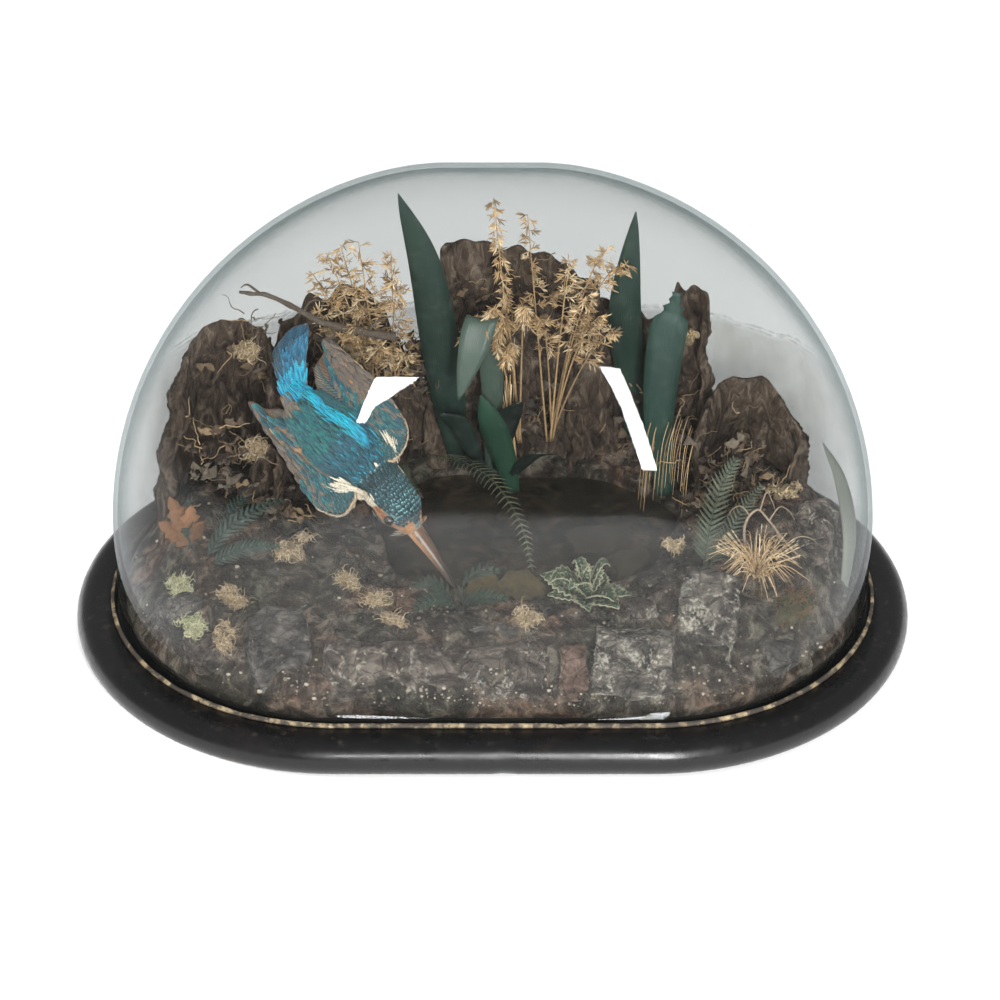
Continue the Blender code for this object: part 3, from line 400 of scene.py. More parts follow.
@dataclass(frozen=True)
class CorkBark(Finish):
    """Rough cork bark, dark brown: painted shade makes it near black in its clefts, and painted highlight makes it
    grey-brown on its ridges.
    """

    name: str = "cork_bark"
    dark: Colour = (0.007, 0.005, 0.004)
    mid: Colour = (0.062, 0.044, 0.032)
    pale: Colour = (0.225, 0.178, 0.135)

    def build(self, graph: Graph) -> bpy.types.Material:
        """Build the nodes."""
        cleft = graph.noise(7.0, 8.0, 0.7, (1.0, 1.0, 0.42), 1.4)
        # Painted shade and highlight: the colour follows the clefts that also drive the bump, near black in them and
        # pale on the ridges.
        colour = graph.ramp(cleft, ((0.34, self.dark), (0.53, self.mid), (0.75, self.pale)))
        dust = graph.span(graph.noise(18.0, 7.0, 0.7), 0.56, 0.74, 0.0, 0.5)
        colour = graph.blend(dust, colour, (0.20, 0.175, 0.14))
        normal = graph.bump(cleft, 2.2, 0.9)
        normal = graph.bump(graph.noise(1.4, 5.0, 0.7), 0.4, 0.8, normal)
        return graph.show(graph.surface(colour, 0.93, normal, Specular_IOR_Level=0.15))


@dataclass(frozen=True)
class TonedMatter(Finish):
    """Dry plant matter whose main colour the mesh carries, broken up by noise."""

    name: str = "toned"
    grain_mm: float = 1.2
    depth_mm: float = 0.15
    rough: float = 0.85

    def build(self, graph: Graph) -> bpy.types.Material:
        """Build the nodes."""
        tone = graph.attribute("tone")
        fine = graph.noise(self.grain_mm, 5.0, 0.65)
        shade = graph.ramp(fine, ((0.25, (0.55, 0.52, 0.48)), (0.75, (1.28, 1.26, 1.22))))
        colour = graph.blend(1.0, tone, shade, "MULTIPLY")
        dust = graph.span(graph.noise(9.0, 5.0), 0.5, 0.8, 0.0, 0.2)
        colour = graph.blend(dust, colour, (0.22, 0.20, 0.17))
        return graph.show(graph.surface(colour, self.rough, graph.bump(fine, self.depth_mm, 0.7),
                                        Specular_IOR_Level=0.3))


@dataclass(frozen=True)
class SwordLeaf(Finish):
    """A preserved sword leaf: dark green, with veins along it and a bloom of dust."""

    name: str = "sword_leaf"

    def build(self, graph: Graph) -> bpy.types.Material:
        """Build the nodes."""
        across = graph.split(graph.attribute("lie", "Vector"), "X")
        vein = graph.calc("SINE", graph.calc("MULTIPLY", across, 46.0))
        tone = graph.attribute("tone")
        shade = graph.span(vein, -1.0, 1.0, 0.88, 1.08)
        colour = graph.blend(1.0, tone, graph.ramp(shade, ((0.0, (0.0, 0.0, 0.0)), (1.0, (1.0, 1.0, 1.0)))),
                             "MULTIPLY")
        mottle = graph.span(graph.noise(6.0, 6.0, 0.65), 0.45, 0.8, 0.0, 0.20)
        colour = graph.blend(mottle, colour, (0.12, 0.145, 0.13))
        normal = graph.bump(vein, 0.05, 0.35, graph.bump(graph.noise(9.0, 3.0), 0.5, 0.5))
        return graph.show(graph.surface(colour, 0.48, normal, Specular_IOR_Level=0.4))


@dataclass(frozen=True)
class SpeckledLeaf(Finish):
    """A thick rosette leaf: green, speckled with cream."""

    name: str = "speckled_leaf"

    def build(self, graph: Graph) -> bpy.types.Material:
        """Build the nodes."""
        ground = graph.ramp(graph.noise(7.0, 4.0), ((0.3, (0.006, 0.018, 0.009)), (0.7, (0.024, 0.052, 0.024))))
        speck = graph.span(graph.noise(1.7, 5.0, 0.75), 0.53, 0.60)
        edge = graph.calc("ABSOLUTE", graph.split(graph.attribute("lie", "Vector"), "X"))
        speck = graph.calc("MAXIMUM", speck, graph.span(edge, 0.72, 0.95, 0.0, 0.9))
        colour = graph.blend(graph.calc("MULTIPLY", speck, 0.62), ground, (0.46, 0.43, 0.29))
        normal = graph.bump(graph.noise(2.2, 4.0), 0.5, 0.6)
        return graph.show(graph.surface(colour, 0.6, normal, Specular_IOR_Level=0.35))


@dataclass(frozen=True)
class Plumage(Finish):
    """Feathers: barbs run out and up from each shaft, over a colour that the mesh carries."""

    name: str = "plumage"
    barbs: float = 34.0
    sheen: float = 0.25
    gloss: float = 0.5

    def build(self, graph: Graph) -> bpy.types.Material:
        """Build the nodes."""
        lie = graph.attribute("lie", "Vector")
        across = graph.split(lie, "X")
        along = graph.split(lie, "Y")
        side = graph.calc("ABSOLUTE", across)
        slant = graph.calc("SUBTRACT", along, graph.calc("MULTIPLY", side, 0.35))
        wave = graph.calc("SINE", graph.calc("MULTIPLY", slant, self.barbs * 2.0))
        ragged = graph.noise(0.55, 4.0, 0.7)
        barb = graph.calc("ADD", graph.calc("MULTIPLY", wave, 0.28), ragged)
        shade = graph.ramp(graph.span(barb, 0.1, 0.95), ((0.0, (0.26, 0.26, 0.28)), (0.55, (1.0, 1.0, 1.0)),
                                                        (1.0, (1.6, 1.6, 1.56))))
        colour = graph.blend(1.0, graph.attribute("tone"), shade, "MULTIPLY")
        shaft = graph.span(side, 0.06, 0.0, 0.0, 0.45)
        colour = graph.blend(shaft, colour, (0.035, 0.028, 0.022))
        dull = graph.span(graph.noise(6.0, 5.0, 0.65), 0.54, 0.82, 0.0, 0.22)
        colour = graph.blend(dull, colour, (0.085, 0.080, 0.070))
        normal = graph.bump(barb, 0.10, 0.6)
        return graph.show(graph.surface(colour, self.gloss, normal, Sheen_Weight=self.sheen,
                                        Sheen_Roughness=0.5, Specular_IOR_Level=0.42))


@dataclass(frozen=True)
class Horn(Finish):
    """Horn of the bill and claws, or dry scaled leg skin, in the mesh's own colours."""

    name: str = "horn"
    rough: float = 0.36
    stretch: Point = (1.0, 1.0, 1.0)

    def build(self, graph: Graph) -> bpy.types.Material:
        """Build the nodes."""
        line = graph.noise(1.1, 6.0, 0.6, self.stretch)
        shade = graph.ramp(line, ((0.3, (0.62, 0.60, 0.58)), (0.7, (1.2, 1.18, 1.14))))
        colour = graph.blend(1.0, graph.attribute("tone"), shade, "MULTIPLY")
        chips = graph.span(graph.noise(2.4, 6.0, 0.7), 0.60, 0.68, 0.0, 0.35)
        colour = graph.blend(chips, colour, (0.34, 0.20, 0.11))
        return graph.show(graph.surface(colour, self.rough, graph.bump(line, 0.12, 0.6),
                                        Specular_IOR_Level=0.5))


@dataclass(frozen=True)
class EyeGlass(Finish):
    """A black-brown glass eye under a polished front."""

    name: str = "eye_glass"

    def build(self, graph: Graph) -> bpy.types.Material:
        """Build the nodes."""
        colour = graph.ramp(graph.noise(1.2, 3.0), ((0.3, (0.004, 0.003, 0.003)), (0.7, (0.020, 0.010, 0.006))))
        return graph.show(graph.surface(colour, 0.06, None, Coat_Weight=0.7, Coat_Roughness=0.03,
                                        Specular_IOR_Level=0.5))


@dataclass(frozen=True)
class FloorPaper(Finish):
    """The pale floor."""

    name: str = "floor_paper"

    def build(self, graph: Graph) -> bpy.types.Material:
        """Build the nodes."""
        colour = graph.ramp(graph.noise(400.0, 2.0), ((0.3, (0.93, 0.93, 0.93)), (0.7, (0.95, 0.95, 0.95))))
        return graph.show(graph.surface(colour, 0.8, None, Specular_IOR_Level=0.1))


# ---------------------------------------------------------------- mesh help

class Mesh:
    """Collects points and faces, with a tone and a lie at each point, for one piece."""

    def __init__(self) -> None:
        """Start empty."""
        self.points: list[np.ndarray] = []
        self.faces: list[np.ndarray] = []
        self.tones: list[np.ndarray] = []
        self.lies: list[np.ndarray] = []
        self.maps: list[np.ndarray] = []
        self.count = 0

    def add(self, points: np.ndarray, faces: Iterable[Sequence[int]], tone: object = (0.2, 0.2, 0.2),
            lie: object = (0.0, 0.0, 0.0), roots: np.ndarray | None = None) -> None:
        """Add points in millimetres with their faces.

        Args:
            points: N by 3.
            faces: lists of indices into the points.
            tone: one colour, or a colour for each point.
            lie: one lie, or a lie for each point.
            roots: place on the unwrap for each point, for a coat.
        """
        points = np.asarray(points, float).reshape(-1, 3)
        size = len(points)
        self.points.append(points)
        self.faces.extend([index + self.count for index in face] for face in faces)
        self.tones.append(np.broadcast_to(np.asarray(tone, float), (size, 3)))
        self.lies.append(np.broadcast_to(np.asarray(lie, float), (size, 3)))
        if roots is not None:
            self.maps.append(roots)
        self.count += size

    def tube(self, path: Sequence[Sequence[float]], radii: Sequence[float], sides: int = 5,
             tone: object = (0.2, 0.2, 0.2), flat: float = 1.0) -> None:
        """Add a closed tube along a path."""
        path = [Vector(p) for p in path]
        rows = []
        side = None
        for i, point in enumerate(path):
            ahead = (path[min(i + 1, len(path) - 1)] - path[max(i - 1, 0)]).normalized()
            if side is None:
                side = ahead.orthogonal().normalized()
            side = (side - ahead * side.dot(ahead)).normalized()
            other = ahead.cross(side)
            for k in range(sides):
                angle = 2.0 * math.pi * k / sides
                rows.append(point + side * radii[i] * math.cos(angle) + other * radii[i] * flat * math.sin(angle))
        faces = []
        for i in range(len(path) - 1):
            for k in range(sides):
                n = (k + 1) % sides
                faces.append((i * sides + k, i * sides + n, (i + 1) * sides + n, (i + 1) * sides + k))
        faces.append(tuple(reversed(range(sides))))
        faces.append(tuple(range((len(path) - 1) * sides, len(path) * sides)))
        tones = np.repeat(np.asarray(tone, float).reshape(-1, 3), sides, 0) if np.ndim(tone) > 1 else tone
        self.add(np.array([tuple(p) for p in rows]), faces, tones)

    def grid(self, rows: np.ndarray, wrap: bool = False, tone: object = (0.2, 0.2, 0.2),
             lie: object = (0.0, 0.0, 0.0), start_cap: bool = False, end_cap: bool = False) -> None:
        """Add a grid of rows of points, closed across its columns if wrap is set."""
        count, width = rows.shape[:2]
        faces = []
        for i in range(count - 1):
            for k in range(width if wrap else width - 1):
                n = (k + 1) % width
                faces.append((i * width + k, i * width + n, (i + 1) * width + n, (i + 1) * width + k))
        if start_cap:
            faces.append(tuple(reversed(range(width))))
        if end_cap:
            faces.append(tuple(range((count - 1) * width, count * width)))
        self.add(rows.reshape(-1, 3), faces, tone, lie)

    def leaf(self, spine: Sequence[Vector], widths: Sequence[float], across: Vector, thickness: float,
             tone: object, crease: float = 0.2) -> None:
        """Add a closed leaf: a creased blade with an upper and a lower face."""
        count = len(spine)
        top, low, lies, tones = [], [], [], []
        for i, point in enumerate(spine):
            ahead = (spine[min(i + 1, count - 1)] - spine[max(i - 1, 0)]).normalized()
            side = (across - ahead * across.dot(ahead)).normalized()
            lift = side.cross(ahead)
            width = widths[i]
            rim = max(0.12, thickness * 0.5)
            for share in (-1.0, -0.5, 0.0, 0.5, 1.0):
                rise = width * crease * (1.0 - abs(share))
                place = point + side * width * share + lift * rise
                half = lift * (0.5 * rim + 0.5 * (thickness - rim) * (1.0 - abs(share)))
                top.append(place + half)
                low.append(place - half)
                lies.append((share, i / (count - 1), 0.0))
                tones.append(tone if np.ndim(tone) == 1 else tone[i])
        points = np.array([tuple(p) for p in top + low])
        total = count * 5
        faces = []
        for i in range(count - 1):
            for k in range(4):
                a, b = i * 5 + k, i * 5 + k + 1
                c, d = b + 5, a + 5
                faces.append((a, b, c, d))
                faces.append((total + d, total + c, total + b, total + a))
            for k, turn in ((0, False), (4, True)):
                a, d = i * 5 + k, i * 5 + k + 5
                quad = (a, d, total + d, total + a)
                faces.append(tuple(reversed(quad)) if turn else quad)
        for i, turn in ((0, True), (count - 1, False)):
            for k in range(4):
                a, b = i * 5 + k, i * 5 + k + 1
                quad = (a, b, total + b, total + a)
                faces.append(tuple(reversed(quad)) if turn else quad)
        self.add(points, faces, np.array(tones + tones), np.array(lies + lies))

    def piece(self, name: str, finish: Finish, slot: str, nodes: Sequence[str] = (), smooth: bool = True,
              sharp: float = 0.0) -> bpy.types.Object:
        """Make the piece, set it on the frame and log it.

        Args:
            name: the piece's name.
            finish: its finish.
            slot: the record's material slot; not used.
            nodes: the nodes that it stands for.
            smooth: whether faces are shaded smooth.
            sharp: edges sharper than this many degrees stay sharp, if it isn't 0.

        Returns:
            The object.
        """
        mesh = bpy.data.meshes.new(name)
        points = np.concatenate(self.points) * MM
        mesh.from_pydata(points.tolist(), [], self.faces)
        tone = mesh.color_attributes.new("tone", "FLOAT_COLOR", "POINT")
        colours = np.ones((self.count, 4), np.float32)
        colours[:, :3] = np.concatenate(self.tones)
        tone.data.foreach_set("color", colours.ravel())
        lie = mesh.attributes.new("lie", "FLOAT_VECTOR", "POINT")
        lie.data.foreach_set("vector", np.concatenate(self.lies).astype(np.float32).ravel())
        if self.maps:
            layer = mesh.uv_layers.new(name="OFBake")
            corners = np.empty(len(mesh.loops), np.int32)
            mesh.loops.foreach_get("vertex_index", corners)
            layer.data.foreach_set("uv", np.concatenate(self.maps)[corners].astype(np.float32).ravel())
        build = bmesh.new()
        build.from_mesh(mesh)
        bmesh.ops.recalc_face_normals(build, faces=build.faces)
        build.to_mesh(mesh)
        build.free()
        mesh.validate()
        if smooth:
            mesh.shade_smooth()
        if sharp:
            mesh.set_sharp_from_angle(angle=math.radians(sharp))
        mesh.materials.append(finish.make())
        thing = bpy.data.objects.new(name, mesh)
        bpy.context.scene.collection.objects.link(thing)
        return settle(thing, nodes)


def settle(thing: bpy.types.Object, nodes: Sequence[str] = ()) -> bpy.types.Object:
    """Set a piece on the frame's one body and log it."""
    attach(thing, "root")
    if nodes:
        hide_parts(*nodes)
    LOG.info("%s: %d faces", thing.name, len(thing.data.polygons))
    return thing


def curve_point(points: Sequence[Sequence[float]], along: float) -> Vector:
    """A point on a smooth curve through the given points."""
    spans = len(points) - 1
    place = min(max(along, 0.0), 1.0) * spans
    i = min(int(place), spans - 1)
    t = place - i
    p1, p2 = Vector(points[i]), Vector(points[i + 1])
    p0 = Vector(points[i - 1]) if i else p1 * 2.0 - p2
    p3 = Vector(points[i + 2]) if i + 2 <= spans else p2 * 2.0 - p1
    bend = (p0 * 2.0 - p1 * 5.0 + p2 * 4.0 - p3) * t * t + (p1 * 3.0 - p0 - p2 * 3.0 + p3) * t ** 3
    return (p1 * 2.0 + (p2 - p0) * t + bend) * 0.5


def roughness_at(point: Vector, size: float, octaves: int = 3, seed: float = 0.0) -> float:
    """Noise of several octaves, about -1 to 1."""
    return noise.fractal(point / size + Vector((seed * 7.3, seed * 1.9, seed * 4.1)), 0.9, 2.1, octaves)


def shade_of(colour: Sequence[float], dice: random.Random, spread: float = 0.2) -> np.ndarray:
    """A colour made a little darker or lighter, by chance."""
    return np.asarray(colour, float) * (1.0 + dice.uniform(-spread, spread))


# ---------------------------------------------------------------- case

@dataclass
class Case:
    """The ebonised plinth, the paper strip and the glass dome."""

    half_straight: float = 75.0
    dome_radius: float = 113.4
    glass: float = 3.0
    foot_z: float = 16.5
    spring_z: float = 57.6
    rise: float = 192.4
    plinth_radius: float = 134.8
    plinth_height: float = 18.5
    groove: float = 5.0
    around: int = 192

    def reach(self, angle: float, end_radius: float) -> float:
        """Distance from the middle to a stadium's edge in one direction."""
        across, along = abs(math.sin(angle)), abs(math.cos(angle))
        if end_radius * along <= self.half_straight * across:
            return end_radius / across
        return self.half_straight * along + math.sqrt(end_radius ** 2 - (self.half_straight * across) ** 2)

    def ring(self, end_radius: float, z: float, scale: float = 1.0) -> list[Point]:
        """A stadium outline at one height."""
        ring = []
        for i in range(self.around):
            angle = 2.0 * math.pi * i / self.around
            reach = self.reach(angle, end_radius) * scale
            ring.append((reach * math.cos(angle), reach * math.sin(angle), z))
        return ring

    def plinth(self) -> None:
        """A full round nose, a nearly flat top, and the groove that takes the dome's foot."""
        nose = self.plinth_height / 2.0
        centre = self.plinth_radius - nose
        middle = self.dome_radius - self.glass / 2.0
        profile = [(centre - 4.0, 0.0), (centre - 1.0, 0.0)]
        for step in range(19):
            angle = math.pi * (step / 18.0 - 0.5)
            profile.append((centre + nose * math.cos(angle), nose + nose * math.sin(angle)))
        for offset, z in ((2.6, 18.5), (2.5, 18.4), (2.5, 16.2), (-2.5, 16.2), (-2.5, 18.5), (-8.0, 18.5)):
            profile.append((middle + offset, z))
        rings = []
        for radius, z in profile:
            ring = np.array(self.ring(radius, z))
            if 0.5 < z < 18.3 and radius > middle + 4.0:
                for point in ring:
                    away = math.hypot(point[0] - 6.0, (point[1] + 133.0) * 0.8)
                    point[1] += 1.5 * math.exp(-(away / 2.6) ** 2) * (1.0 - z / 18.5)
            rings.append(ring)
        mesh = Mesh()
        mesh.grid(np.array(rings), wrap=True, start_cap=True, end_cap=True)
        mesh.piece("plinth_ebonised", EbonisedWood(), "ebonised_wood", ["plinth"], sharp=50.0)

    def strip(self) -> None:
        """The paper edging: a thin low ribbon with lifted and broken places."""
        inner = self.dome_radius + self.groove / 2.0 - 0.4
        rings = []
        for offset, rise in ((0.0, 0.0), (1.9, 0.0), (1.6, 0.9), (0.5, 1.7), (0.0, 1.6)):
            ring = np.array(self.ring(inner + offset, self.plinth_height + 0.12 + rise))
            for point in ring:
                lost = roughness_at(Vector(point), 14.0, 3, 2.0)
                point[2] -= max(0.0, lost - 0.05) * rise * 0.8
            rings.append(ring)
        rings.append(rings[0])
        mesh = Mesh()
        mesh.grid(np.array(rings), wrap=True)
        mesh.piece("foot_edging", GiltPaper(), "gilt_paper", ["foot_strip"])

    def vault(self, shrink: float, steps: int) -> list[np.ndarray]:
        """Rings of one face of the dome, from its foot to near its top."""
        rings = [np.array(self.ring(self.dome_radius - shrink, self.foot_z + 0.2))]
        for z in (30.0, 44.0):
            rings.append(np.array(self.ring(self.dome_radius - shrink, z)))
        for step in range(steps):
            angle = 0.5 * math.pi * step / steps
            z = self.spring_z + (self.rise - shrink) * math.sin(angle)
            ring = self.ring(self.dome_radius - shrink * (1.0 if step == 0 else 0.9), z, math.cos(angle))
            rings.append(np.array(ring))
        for ring in rings[1:]:
            for point in ring:
                sway = roughness_at(Vector(point), 110.0, 1, 4.0)
                point[:2] *= 1.0 + 0.004 * sway
        return rings

    def dome(self) -> None:
        """The blown dome, as one closed wall."""
        outer = self.vault(0.0, 30)
        inner = self.vault(2.6, 30)
        mesh = Mesh()
        rings = list(reversed(inner)) + outer
        top_inner = np.array([[0.0, 0.0, self.spring_z + self.rise - 2.6]])
        top_outer = np.array([[0.0, 0.0, self.spring_z + self.rise - 0.05]])
        rows = np.array(rings)
        points = np.concatenate([rows.reshape(-1, 3), top_inner, top_outer])
        count = len(rings)
        faces = []
        for i in range(count - 1):
            for k in range(self.around):
                n = (k + 1) % self.around
                faces.append((i * self.around + k, i * self.around + n,
                              (i + 1) * self.around + n, (i + 1) * self.around + k))
        first, last = count * self.around, (count - 1) * self.around
        for k in range(self.around):
            n = (k + 1) % self.around
            faces.append((first, n, k))
            faces.append((first + 1, last + k, last + n))
        mesh.add(points, faces)
        mesh.piece("dome_blown", DomeGlass(), "dome_glass", ["dome_glass"])

    def build(self) -> None:
        """Build every piece of the case."""
        self.plinth()
        self.strip()
        self.dome()


# ---------------------------------------------------------------- groundwork

@dataclass
class Groundwork:
    """The sanded groundwork round the pond, its grit, the pond and the stones."""

    case: Case
    pond_centre: tuple[float, float] = (15.0, 16.0)
    pond_half: tuple[float, float] = (77.0, 63.0)
    squareness: float = 0.82
    floor_z: float = 32.6
    pane_z: float = 36.4
    bank_z: float = 46.0
    rim_z: float = 24.0
    around: int = 288
    out_steps: int = 64

    def pond_point(self, angle: float, grow: float = 0.0) -> Vector:
        """A point of the pond's outline."""
        wander = 1.0 + 0.05 * math.sin(3.0 * angle + 0.6) + 0.03 * math.sin(7.0 * angle)
        x = math.copysign(abs(math.cos(angle)) ** self.squareness, math.cos(angle))
        y = math.copysign(abs(math.sin(angle)) ** self.squareness, math.sin(angle))
        return Vector((self.pond_centre[0] + (self.pond_half[0] * wander + grow) * x,
                       self.pond_centre[1] + (self.pond_half[1] * wander + grow) * y, 0.0))

    def height(self, x: float, y: float, outward: float) -> float:
        """Height of the bank; outward runs from the pond's edge, 0, to the rim, 1."""
        height = self.bank_z + 6.0 * min(1.0, outward * 2.5)
        for cx, cy, sx, sy, rise in ((-138.0, 10.0, 45.0, 60.0, 9.0), (146.0, 8.0, 40.0, 55.0, 11.0),
                                     (0.0, 96.0, 150.0, 18.0, 6.0), (104.0, -80.0, 15.0, 26.0, -9.0),
                                     (67.0, -98.0, 22.0, 13.0, -7.0), (-27.0, -101.0, 62.0, 9.0, -5.0),
                                     (37.0, -100.0, 9.0, 12.0, -6.0), (-102.0, -90.0, 17.0, 15.0, -8.0)):
            height += rise * math.exp(-(((x - cx) / sx) ** 2 + ((y - cy) / sy) ** 2))
        height += 2.5 * noise.noise(Vector((x, y, 3.0)) / 16.0)
        fall = max(0.0, (outward - 0.70) / 0.30)
        return height + (self.rim_z - height) * fall ** 1.6

    def on_bank(self, angle: float, outward: float) -> Vector:
        """The bank's point at an angle about the middle and a share of the way out."""
        reach = self.case.reach(angle, self.case.dome_radius - self.case.glass - 0.8)
        rim = Vector((reach * math.cos(angle), reach * math.sin(angle), 0.0))
        point = self.pond_point(angle).lerp(rim, outward)
        point.z = self.height(point.x, point.y, outward)
        return point

    def lumpy(self, point: Vector, share: float) -> Vector:
        """Push a bank point by the groundwork's lumps, less near the rim and the pond."""
        lump = 3.4 * roughness_at(point, 15.0, 4, 1.0) + 2.2 * abs(roughness_at(point, 6.0, 3, 2.0)) - 1.4
        return point + Vector((0.0, 0.0, lump * share))

    def bed(self) -> None:
        """The banks, the pond's floor and the underside, as one closed body."""
        rows = []
        for shrink in (0.9, 0.6, 0.3, 0.1):
            row = [self.pond_point(2.0 * math.pi * i / self.around, -1.5) for i in range(self.around)]
            centre = Vector((*self.pond_centre, 0.0))
            flat = []
            for point in row:
                spot = point.lerp(centre, shrink)
                flat.append((spot.x, spot.y, self.floor_z + 0.25 * roughness_at(spot, 9.0, 2, 5.0)))
            rows.append(flat)
        for z, inset in ((self.floor_z, -1.5), (38.0, -0.8), (42.0, 0.6)):
            row = []
            for i in range(self.around):
                point = self.pond_point(2.0 * math.pi * i / self.around, inset)
                point.z = z
                wave = roughness_at(point, 9.0, 3, 6.0) * 0.8
                row.append((point.x + wave, point.y + wave, z))
            rows.append(row)
        for step in range(self.out_steps + 1):
            outward = step / self.out_steps
            row = []
            for i in range(self.around):
                point = self.on_bank(2.0 * math.pi * i / self.around, outward)
                share = min(1.0, 12.0 * outward + 0.4, 8.0 * (1.0 - outward) + 0.05)
                row.append(tuple(self.lumpy(point, share)))
            rows.append(row)
        rows.append([(x, y, 18.8) for x, y, _ in rows[-1]])
        mesh = Mesh()
        mesh.grid(np.array(rows), wrap=True, start_cap=True, end_cap=True)
        mesh.piece("groundwork_bed", Earth(), "groundwork", ["ground_bed"])

    def grit(self) -> None:
        """Loose crumbs of stone and plaster, thickest along the front rim."""
        dice = random.Random(11)
        ball = bmesh.new()
        bmesh.ops.create_icosphere(ball, subdivisions=1, radius=1.0)
        shape = np.array([tuple(v.co) for v in ball.verts])
        faces = [tuple(v.index for v in f.verts) for f in ball.faces]
        ball.free()
        tones = ((0.40, 0.36, 0.30), (0.20, 0.17, 0.13), (0.10, 0.08, 0.065), (0.055, 0.045, 0.035))
        mesh = Mesh()
        for number in range(2300):
            angle = dice.uniform(0.0, 2.0 * math.pi)
            outward = dice.uniform(0.03, 0.97)
            if number % 3 == 0:
                angle = -0.5 * math.pi + dice.gauss(0.0, 0.75)
                outward = dice.uniform(0.84, 0.99)
            point = self.on_bank(angle, outward)
            share = min(1.0, 12.0 * outward + 0.4, 8.0 * (1.0 - outward) + 0.05)
            point = self.lumpy(point, share)
            size = 0.30 + 1.0 * dice.random() ** 4
            scale = np.array([dice.uniform(0.7, 1.3), dice.uniform(0.7, 1.3), dice.uniform(0.5, 0.9)]) * size
            crumb = shape * scale * np.array([[dice.uniform(0.75, 1.2)] for _ in shape])
            if point.y < 0.0:
                point.y = max(point.y, -109.4 + size)
            pale = dice.random() < (0.5 if outward > 0.82 and point.y < -60.0 else 0.10)
            tone = shade_of(tones[0 if pale else dice.randrange(1, 4)], dice, 0.3)
            mesh.add(crumb + np.array(point) + np.array((0.0, 0.0, 0.2 * size)), faces, tone)
        mesh.piece("groundwork_grit", TonedMatter("grit", 0.8, 0.2, 0.95), "groundwork", smooth=False)

    def pond(self) -> None:
        """The old glass pane, with flat stones under it."""
        rings = []
        for z, inset in ((self.pane_z - 1.8, -3.0), (self.pane_z - 0.3, -2.8), (self.pane_z, -3.1)):
            rings.append([tuple(self.pond_point(2.0 * math.pi * i / 144, inset) + Vector((0.0, 0.0, z)))
                          for i in range(144)])
        mesh = Mesh()
        mesh.grid(np.array(rings), wrap=True, start_cap=True, end_cap=True)
        mesh.piece("pond_pane_old", PondGlass(), "pond_glass", ["pond_pane"], sharp=30.0)
        dice = random.Random(5)
        stones = Mesh()
        spots = [(-44.0, -26.0, 19.0, 15.0, (0.20, 0.19, 0.175)), (-18.0, -32.0, 9.0, 7.0, (0.34, 0.28, 0.18)),
                 (-6.0, -24.0, 10.0, 14.0, (0.36, 0.31, 0.19)), (14.0, -22.0, 9.0, 13.0, (0.30, 0.26, 0.17)),
                 (-30.0, 4.0, 13.0, 9.0, (0.10, 0.09, 0.08)), (44.0, -18.0, 13.0, 11.0, (0.13, 0.115, 0.09)),
                 (52.0, 20.0, 14.0, 12.0, (0.08, 0.075, 0.065)), (12.0, 16.0, 12.0, 10.0, (0.075, 0.07, 0.06)),
                 (70.0, 0.0, 9.0, 12.0, (0.11, 0.10, 0.08)), (-22.0, 38.0, 13.0, 9.0, (0.07, 0.065, 0.055))]
        for x, y, rx, ry, tone in spots:
            rows = []
            for level, scale in ((0.1, 1.0), (1.1, 0.96), (1.6, 0.86)):
                ring = []
                for i in range(28):
                    angle = 2.0 * math.pi * i / 28
                    spot = Vector((math.cos(angle), math.sin(angle), x * 0.1))
                    edge = scale * (1.0 + 0.55 * roughness_at(spot, 0.8, 3, x))
                    ring.append((x + rx * edge * spot.x, y + ry * edge * spot.y, self.floor_z + level))
                rows.append(ring)
            stones.grid(np.array(rows), wrap=True, tone=shade_of(tone, dice, 0.1), start_cap=True, end_cap=True)
        stones.piece("pond_stones", TonedMatter("sunk_stone", 4.0, 0.5, 0.8), "rock")

    def rock(self, name: str, centre: Point, size: Point, turn: float, lean: float, seed: int,
             kind: StoneKind, node: str) -> None:
        """A split block: flat faces, chipped arrises and layers."""
        build = bmesh.new()
        bmesh.ops.create_cube(build, size=1.0)
        bmesh.ops.subdivide_edges(build, edges=build.edges, cuts=26, use_grid_fill=True)
        build.normal_update()
        shift = Vector((seed * 7.3, seed * 1.9, seed * 4.1))
        small, large = min(size), max(size)
        moved = []
        for vert in build.verts:
            rounding = 1.0 - 0.17 * (vert.co.length / 0.87) ** 4
            moved.append(Vector(a * b * rounding for a, b in zip(vert.co, size)))
        for vert, place in zip(build.verts, moved):
            vert.co = place
        build.normal_update()
        moves = []
        for vert in build.verts:
            broad = 0.14 * small * noise.noise(vert.co / (0.45 * large) + shift)
            chip = -1.5 * max(0.0, roughness_at(vert.co, 9.0, 3, seed)) ** 1.3
            layer = 0.45 * math.sin(vert.co.z * 1.3 + 3.0 * noise.noise(vert.co / 14.0))
            moves.append(vert.normal * (broad + chip + 0.5 * layer + 0.35 * roughness_at(vert.co, 2.6, 2, seed)))
        for vert, move in zip(build.verts, moves):
            warp = noise.noise_vector(vert.co / 17.0 + shift) * 2.6 + noise.noise_vector(vert.co / 7.0 + shift) * 1.3
            vert.co += move + warp
        spin = Matrix.Rotation(math.radians(turn), 4, "Z") @ Matrix.Rotation(math.radians(lean), 4, "X")
        build.transform(Matrix.Translation(centre) @ spin)
        points = np.array([tuple(v.co) for v in build.verts])
        points[:, 1] = np.maximum(points[:, 1], -109.6)
        faces = [tuple(v.index for v in f.verts) for f in build.faces]
        build.free()
        mesh = Mesh()
        mesh.add(points, faces)
        mesh.piece(name, Stone(f"stone_{kind.name.lower()}", kind), "rock", [node] if node else (), sharp=48.0)

